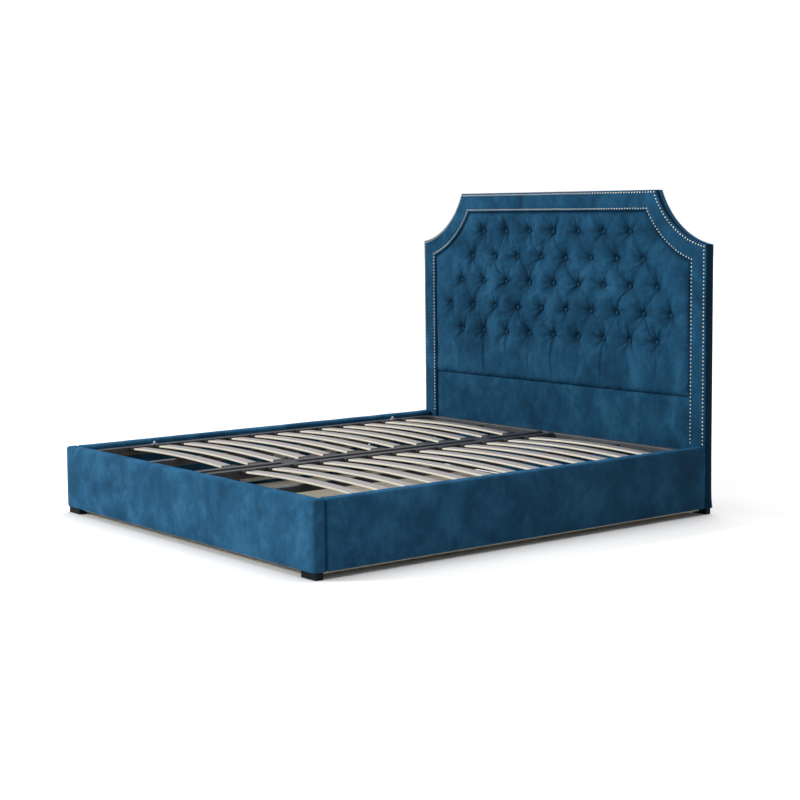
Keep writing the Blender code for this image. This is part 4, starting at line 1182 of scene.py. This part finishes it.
# ---------------------------------------------------------------- lift mechanism
def soften(node, material, width=0.0006, angle=35):
    """Keep a CAD node, with its own finish and a fine bevel."""
    obj = NODES[node]
    obj.data.materials.clear()
    obj.data.materials.append(material)
    modifier = obj.modifiers.new("edge", "BEVEL")
    modifier.width = width
    modifier.segments = 2
    modifier.limit_method = "ANGLE"
    modifier.angle_limit = math.radians(angle)
    modifier.harden_normals = False


def joint_place(name):
    return Vector([j for j in frame["joints"] if j["name"] == name][0]["pos_m"])


def screw_head(bm, place, axis, radius=0.0055, height=0.0028):
    """Low domed head with a hexagon socket."""
    profile = [(-0.0010, radius * 0.9), (0, radius), (height * 0.35, radius), (height * 0.75, radius * 0.82),
               (height, radius * 0.52), (height, radius * 0.44), (height * 0.35, radius * 0.40),
               (height * 0.35, 0.0)]
    lathe(bm, profile, place, axis, 18)


def build_mechanism():
    for side, sign in SIDES.items():
        for node in ("lift_base_plate_", "lift_top_bracket_", "lift_rear_arm_", "lift_front_arm_"):
            soften(node + side, ZINC)
        inward = Vector((-sign, 0, 0))
        plate_low, plate_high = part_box("lift_base_plate_" + side)
        face = (plate_high.x if sign < 0 else plate_low.x)
        sheet_face = sign * 0.9107
        bm = bmesh.new()
        for y, z in ((-0.155, 0.056), (-0.155, 0.082), (-0.045, 0.060), (0.090, 0.060), (0.030, 0.140),
                     (0.150, 0.060), (0.250, 0.060), (0.250, 0.095)):
            screw_head(bm, (sheet_face, y, z), inward)
        name = "lift_plate_screws_" + side
        link(name, mesh_from_bm(name, bm, ZINC, sharp=40), "base")
        bm = bmesh.new()
        pivots = ((joint_place("lift"), 0.9047), (joint_place("front_arm_right"), 0.8987))
        for place, x in pivots:
            washer_cap(bm, (sign * x, place.y, place.z), inward)
        name = "lift_pivot_caps_" + side
        link(name, mesh_from_bm(name, bm, ZINC, sharp=40), "base")
        build_strut(side, sign)


def washer_cap(bm, place, axis):
    """Flat washer under a peened stud end."""
    profile = [(-0.0002, 0.0095), (0.0009, 0.0095), (0.0011, 0.0090), (0.0011, 0.0058), (0.0022, 0.0056),
               (0.0030, 0.0044), (0.0034, 0.0022), (0.0035, 0.0)]
    lathe(bm, profile, place, axis, 24)


def build_strut(side, sign):
    """Gas strut: smooth lacquered cylinder, crimped end and polished rod, each with its eye."""
    slide = Vector([j for j in frame["joints"] if j["name"] == "strut_slide_" + side][0]["axis"]).normalized()
    foot = joint_place("strut_swing_" + side)
    foot.x = sign * 0.8802
    head_y, head_z = 0.6688, 0.2020
    length = math.hypot(head_y - foot.y, head_z - foot.z)
    bm = bmesh.new()
    profile = [(0.0155, 0.0), (0.0155, 0.0085), (0.0170, 0.0104), (0.0190, 0.0110), (0.2260, 0.0110), (0.2290, 0.0104),
               (0.2305, 0.0099), (0.2320, 0.0104), (0.2345, 0.0110), (0.2375, 0.0108), (0.2392, 0.0098),
               (0.2400, 0.0075), (0.2400, 0.0052), (0.2300, 0.0050), (0.2300, 0.0)]
    lathe(bm, profile, foot, slide, 40)
    name = "gas_cylinder_body_" + side
    link(name, mesh_from_bm(name, bm, STRUT_BLACK, sharp=40), "strut_cylinder_" + side,
         ("gas_cylinder_" + side,))
    bm = bmesh.new()
    add_eye(bm, foot, slide, 1, sign)
    name = "gas_cylinder_eye_" + side
    link(name, mesh_from_bm(name, bm, ZINC, sharp=40), "strut_cylinder_" + side)
    bm = bmesh.new()
    lathe(bm, [(0.1120, 0.0), (0.1120, 0.0040), (0.1126, 0.0045), (length - 0.0145, 0.0045), (length - 0.0135, 0.0040),
               (length - 0.0135, 0.0)], foot, slide, 28)
    name = "gas_rod_shaft_" + side
    link(name, mesh_from_bm(name, bm, CHROME, sharp=40), "strut_rod_" + side, ("gas_rod_" + side,))
    bm = bmesh.new()
    add_eye(bm, foot + slide * length, slide, -1, sign)
    name = "gas_rod_eye_" + side
    link(name, mesh_from_bm(name, bm, ZINC, sharp=40), "strut_rod_" + side)


def add_eye(bm, centre, slide, towards, sign):
    """Round eye with an open hole, and the neck that joins it to the strut."""
    outer, inner, half = 0.0105, 0.0062, 0.0050
    count = 28
    rings = []
    for x, r in ((-half, inner), (-half, outer - 0.0006), (-half + 0.0006, outer), (half - 0.0006, outer),
                 (half, outer - 0.0006), (half, inner)):
        rings.append([bm.verts.new(centre + Vector((x, r * math.cos(2 * math.pi * i / count),
                                                    r * math.sin(2 * math.pi * i / count)))) for i in range(count)])
    for k, ring in enumerate(rings):
        following = rings[(k + 1) % len(rings)]
        for i in range(count):
            j = (i + 1) % count
            bm.faces.new((ring[i], ring[j], following[j], following[i]))
    start = centre + slide * towards * 0.0095
    lathe(bm, [(0, 0.0040), (0.0008, 0.0052), (0.0060, 0.0056), (0.0068, 0.0050)], start, slide * towards, 20)


# ---------------------------------------------------------------- base fittings
def build_base_fittings():
    for side in SIDES:
        soften("storage_floor_" + side, BOARD, 0.0008)
        soften("foot_front_" + side, FOOT, 0.0015)
        soften("foot_rear_" + side, FOOT, 0.0015)
        soften(f"side_rail_{side}_core", PINE, 0.001)
    soften("floor_runner", PINE, 0.0010)
    soften("rest_ledge_foot", PINE, 0.0015)
    soften("foot_panel_core", PINE, 0.001)
    soften("headboard_core", PINE, 0.001)
    low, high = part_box("rest_ledge_foot")
    for side, sign in SIDES.items():
        bm = bmesh.new()
        x = sign * 0.55
        bevelled_box(bm, (x - 0.022, low.y + 0.016, high.z - 0.0030), (x + 0.022, high.y - 0.006, high.z + 0.0002), 0.0012)
        name = "rest_pad_" + side
        link(name, mesh_from_bm(name, bm, RUBBER), "base")
    bm = bmesh.new()
    for i in range(7):
        screw_head(bm, (-0.63 + 0.21 * i, high.y, (low.z + high.z) / 2), (0, 1, 0), 0.0046, 0.0022)
    link("rest_ledge_screws", mesh_from_bm("rest_ledge_screws", bm, ZINC, sharp=40), "base")
    build_corner_brackets()


def build_corner_brackets():
    """Folded steel angle in each corner of the base, with its bolts."""
    inner_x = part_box("side_rail_right_cover")[0].x
    foot_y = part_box("foot_panel_cover")[1].y
    for end, y_wall, direction in (("foot", foot_y, 1), ("head", FRONT + 0.0035, -1)):
        for side, sign in SIDES.items():
            bm = bmesh.new()
            x_wall = sign * inner_x
            for z in ((0.060, 0.180) if end == "foot" else (0.060, 0.200),):
                a = (x_wall - sign * 0.0032, y_wall + direction * 0.0006, z[0])
                b = (x_wall - sign * 0.0004, y_wall + direction * 0.042, z[1])
                bevelled_box(bm, [min(p, q) for p, q in zip(a, b)], [max(p, q) for p, q in zip(a, b)], 0.0007)
                a = (x_wall - sign * 0.042, y_wall + direction * 0.0006, z[0])
                b = (x_wall - sign * 0.0006, y_wall + direction * 0.0034, z[1])
                bevelled_box(bm, [min(p, q) for p, q in zip(a, b)], [max(p, q) for p, q in zip(a, b)], 0.0007)
                for k in (0.25, 0.75):
                    height = z[0] + (z[1] - z[0]) * k
                    screw_head(bm, (x_wall - sign * 0.0032, y_wall + direction * 0.026, height), (-sign, 0, 0), 0.0065, 0.0035)
                    screw_head(bm, (x_wall - sign * 0.026, y_wall + direction * 0.0034, height), (0, direction, 0), 0.0065, 0.0035)
            name = f"corner_bracket_{end}_{side}"
            link(name, mesh_from_bm(name, bm, ZINC), "base")


# ---------------------------------------------------------------- floor, light and camera
def build_stage():
    n = Nodes("studio_floor")
    n.bump((n.noise(25.0), 0.05, 0.001))
    floor_material = n.set(Base_Color=n.ramp(n.noise(1.5), (0.3, (0.91, 0.91, 0.91)), (0.7, (0.93, 0.93, 0.93))),
                           Roughness=0.85)
    half = 30.0
    mesh = mesh_from("studio_floor", [(-half, -half, 0), (half, -half, 0), (half, half, 0), (-half, half, 0)],
                     [(0, 1, 2, 3)], floor_material, smooth=False)
    floor = bpy.data.objects.new("studio_floor", mesh)
    bpy.context.scene.collection.objects.link(floor)


def add_sun(name, towards, strength, spread, colour=(1.0, 1.0, 1.0)):
    """Broad distant light; towards points from the bed to the light, spread is its width in degrees."""
    data = bpy.data.lights.new(name, "SUN")
    data.energy = strength
    data.angle = math.radians(spread)
    data.color = colour
    lamp = bpy.data.objects.new(name, data)
    bpy.context.scene.collection.objects.link(lamp)
    lamp.rotation_euler = Vector(towards).to_track_quat("Z", "Y").to_euler()
    lamp.location = Vector(towards).normalized() * 5


def build_light():
    scene = bpy.context.scene
    world = bpy.data.worlds.new("studio")
    world.use_nodes = True
    tree = world.node_tree
    background = tree.nodes["Background"]
    background.inputs["Color"].default_value = (1.0, 1.0, 1.0, 1.0)
    seen = tree.nodes.new("ShaderNodeLightPath").outputs["Is Camera Ray"]
    strength = tree.nodes.new("ShaderNodeMapRange")
    strength.inputs["To Min"].default_value = 0.31
    strength.inputs["To Max"].default_value = 1.0
    tree.links.new(seen, strength.inputs["Value"])
    tree.links.new(strength.outputs["Result"], background.inputs["Strength"])
    scene.world = world
    scene.view_settings.view_transform = "Standard"
    add_sun("overhead", (-0.10, 0.22, 1.0), 2.7, 62.0)
    add_sun("front", (-0.80, -1.0, 0.62), 2.45, 16.0, (1.0, 0.985, 0.96))


def build_camera():
    view = Vector((-0.78535, 0.60920, -0.11000)).normalized()
    right = Vector((0.61292, 0.79014, 0.0)).normalized()
    up = right.cross(view)
    roll = math.radians(-0.6255)
    side = right * math.cos(roll) + up * math.sin(roll)
    top = up * math.cos(roll) - right * math.sin(roll)
    data = bpy.data.cameras.new("camera")
    data.lens = 77.64
    data.sensor_width = 36.0
    data.dof.use_dof = False
    data.clip_end = 200.0
    camera = bpy.data.objects.new("camera", data)
    bpy.context.scene.collection.objects.link(camera)
    camera.matrix_world = Matrix.Translation((6.0085, -4.5671, 1.3378)) @ Matrix((side, top, -view)).transposed().to_4x4()
    bpy.context.scene.camera = camera


build_tufted_pad()
build_lower_pad()
build_border()
build_nails()
build_back()
build_base_panels()
build_platform()
build_mechanism()
build_base_fittings()
build_stage()
build_light()
build_camera()
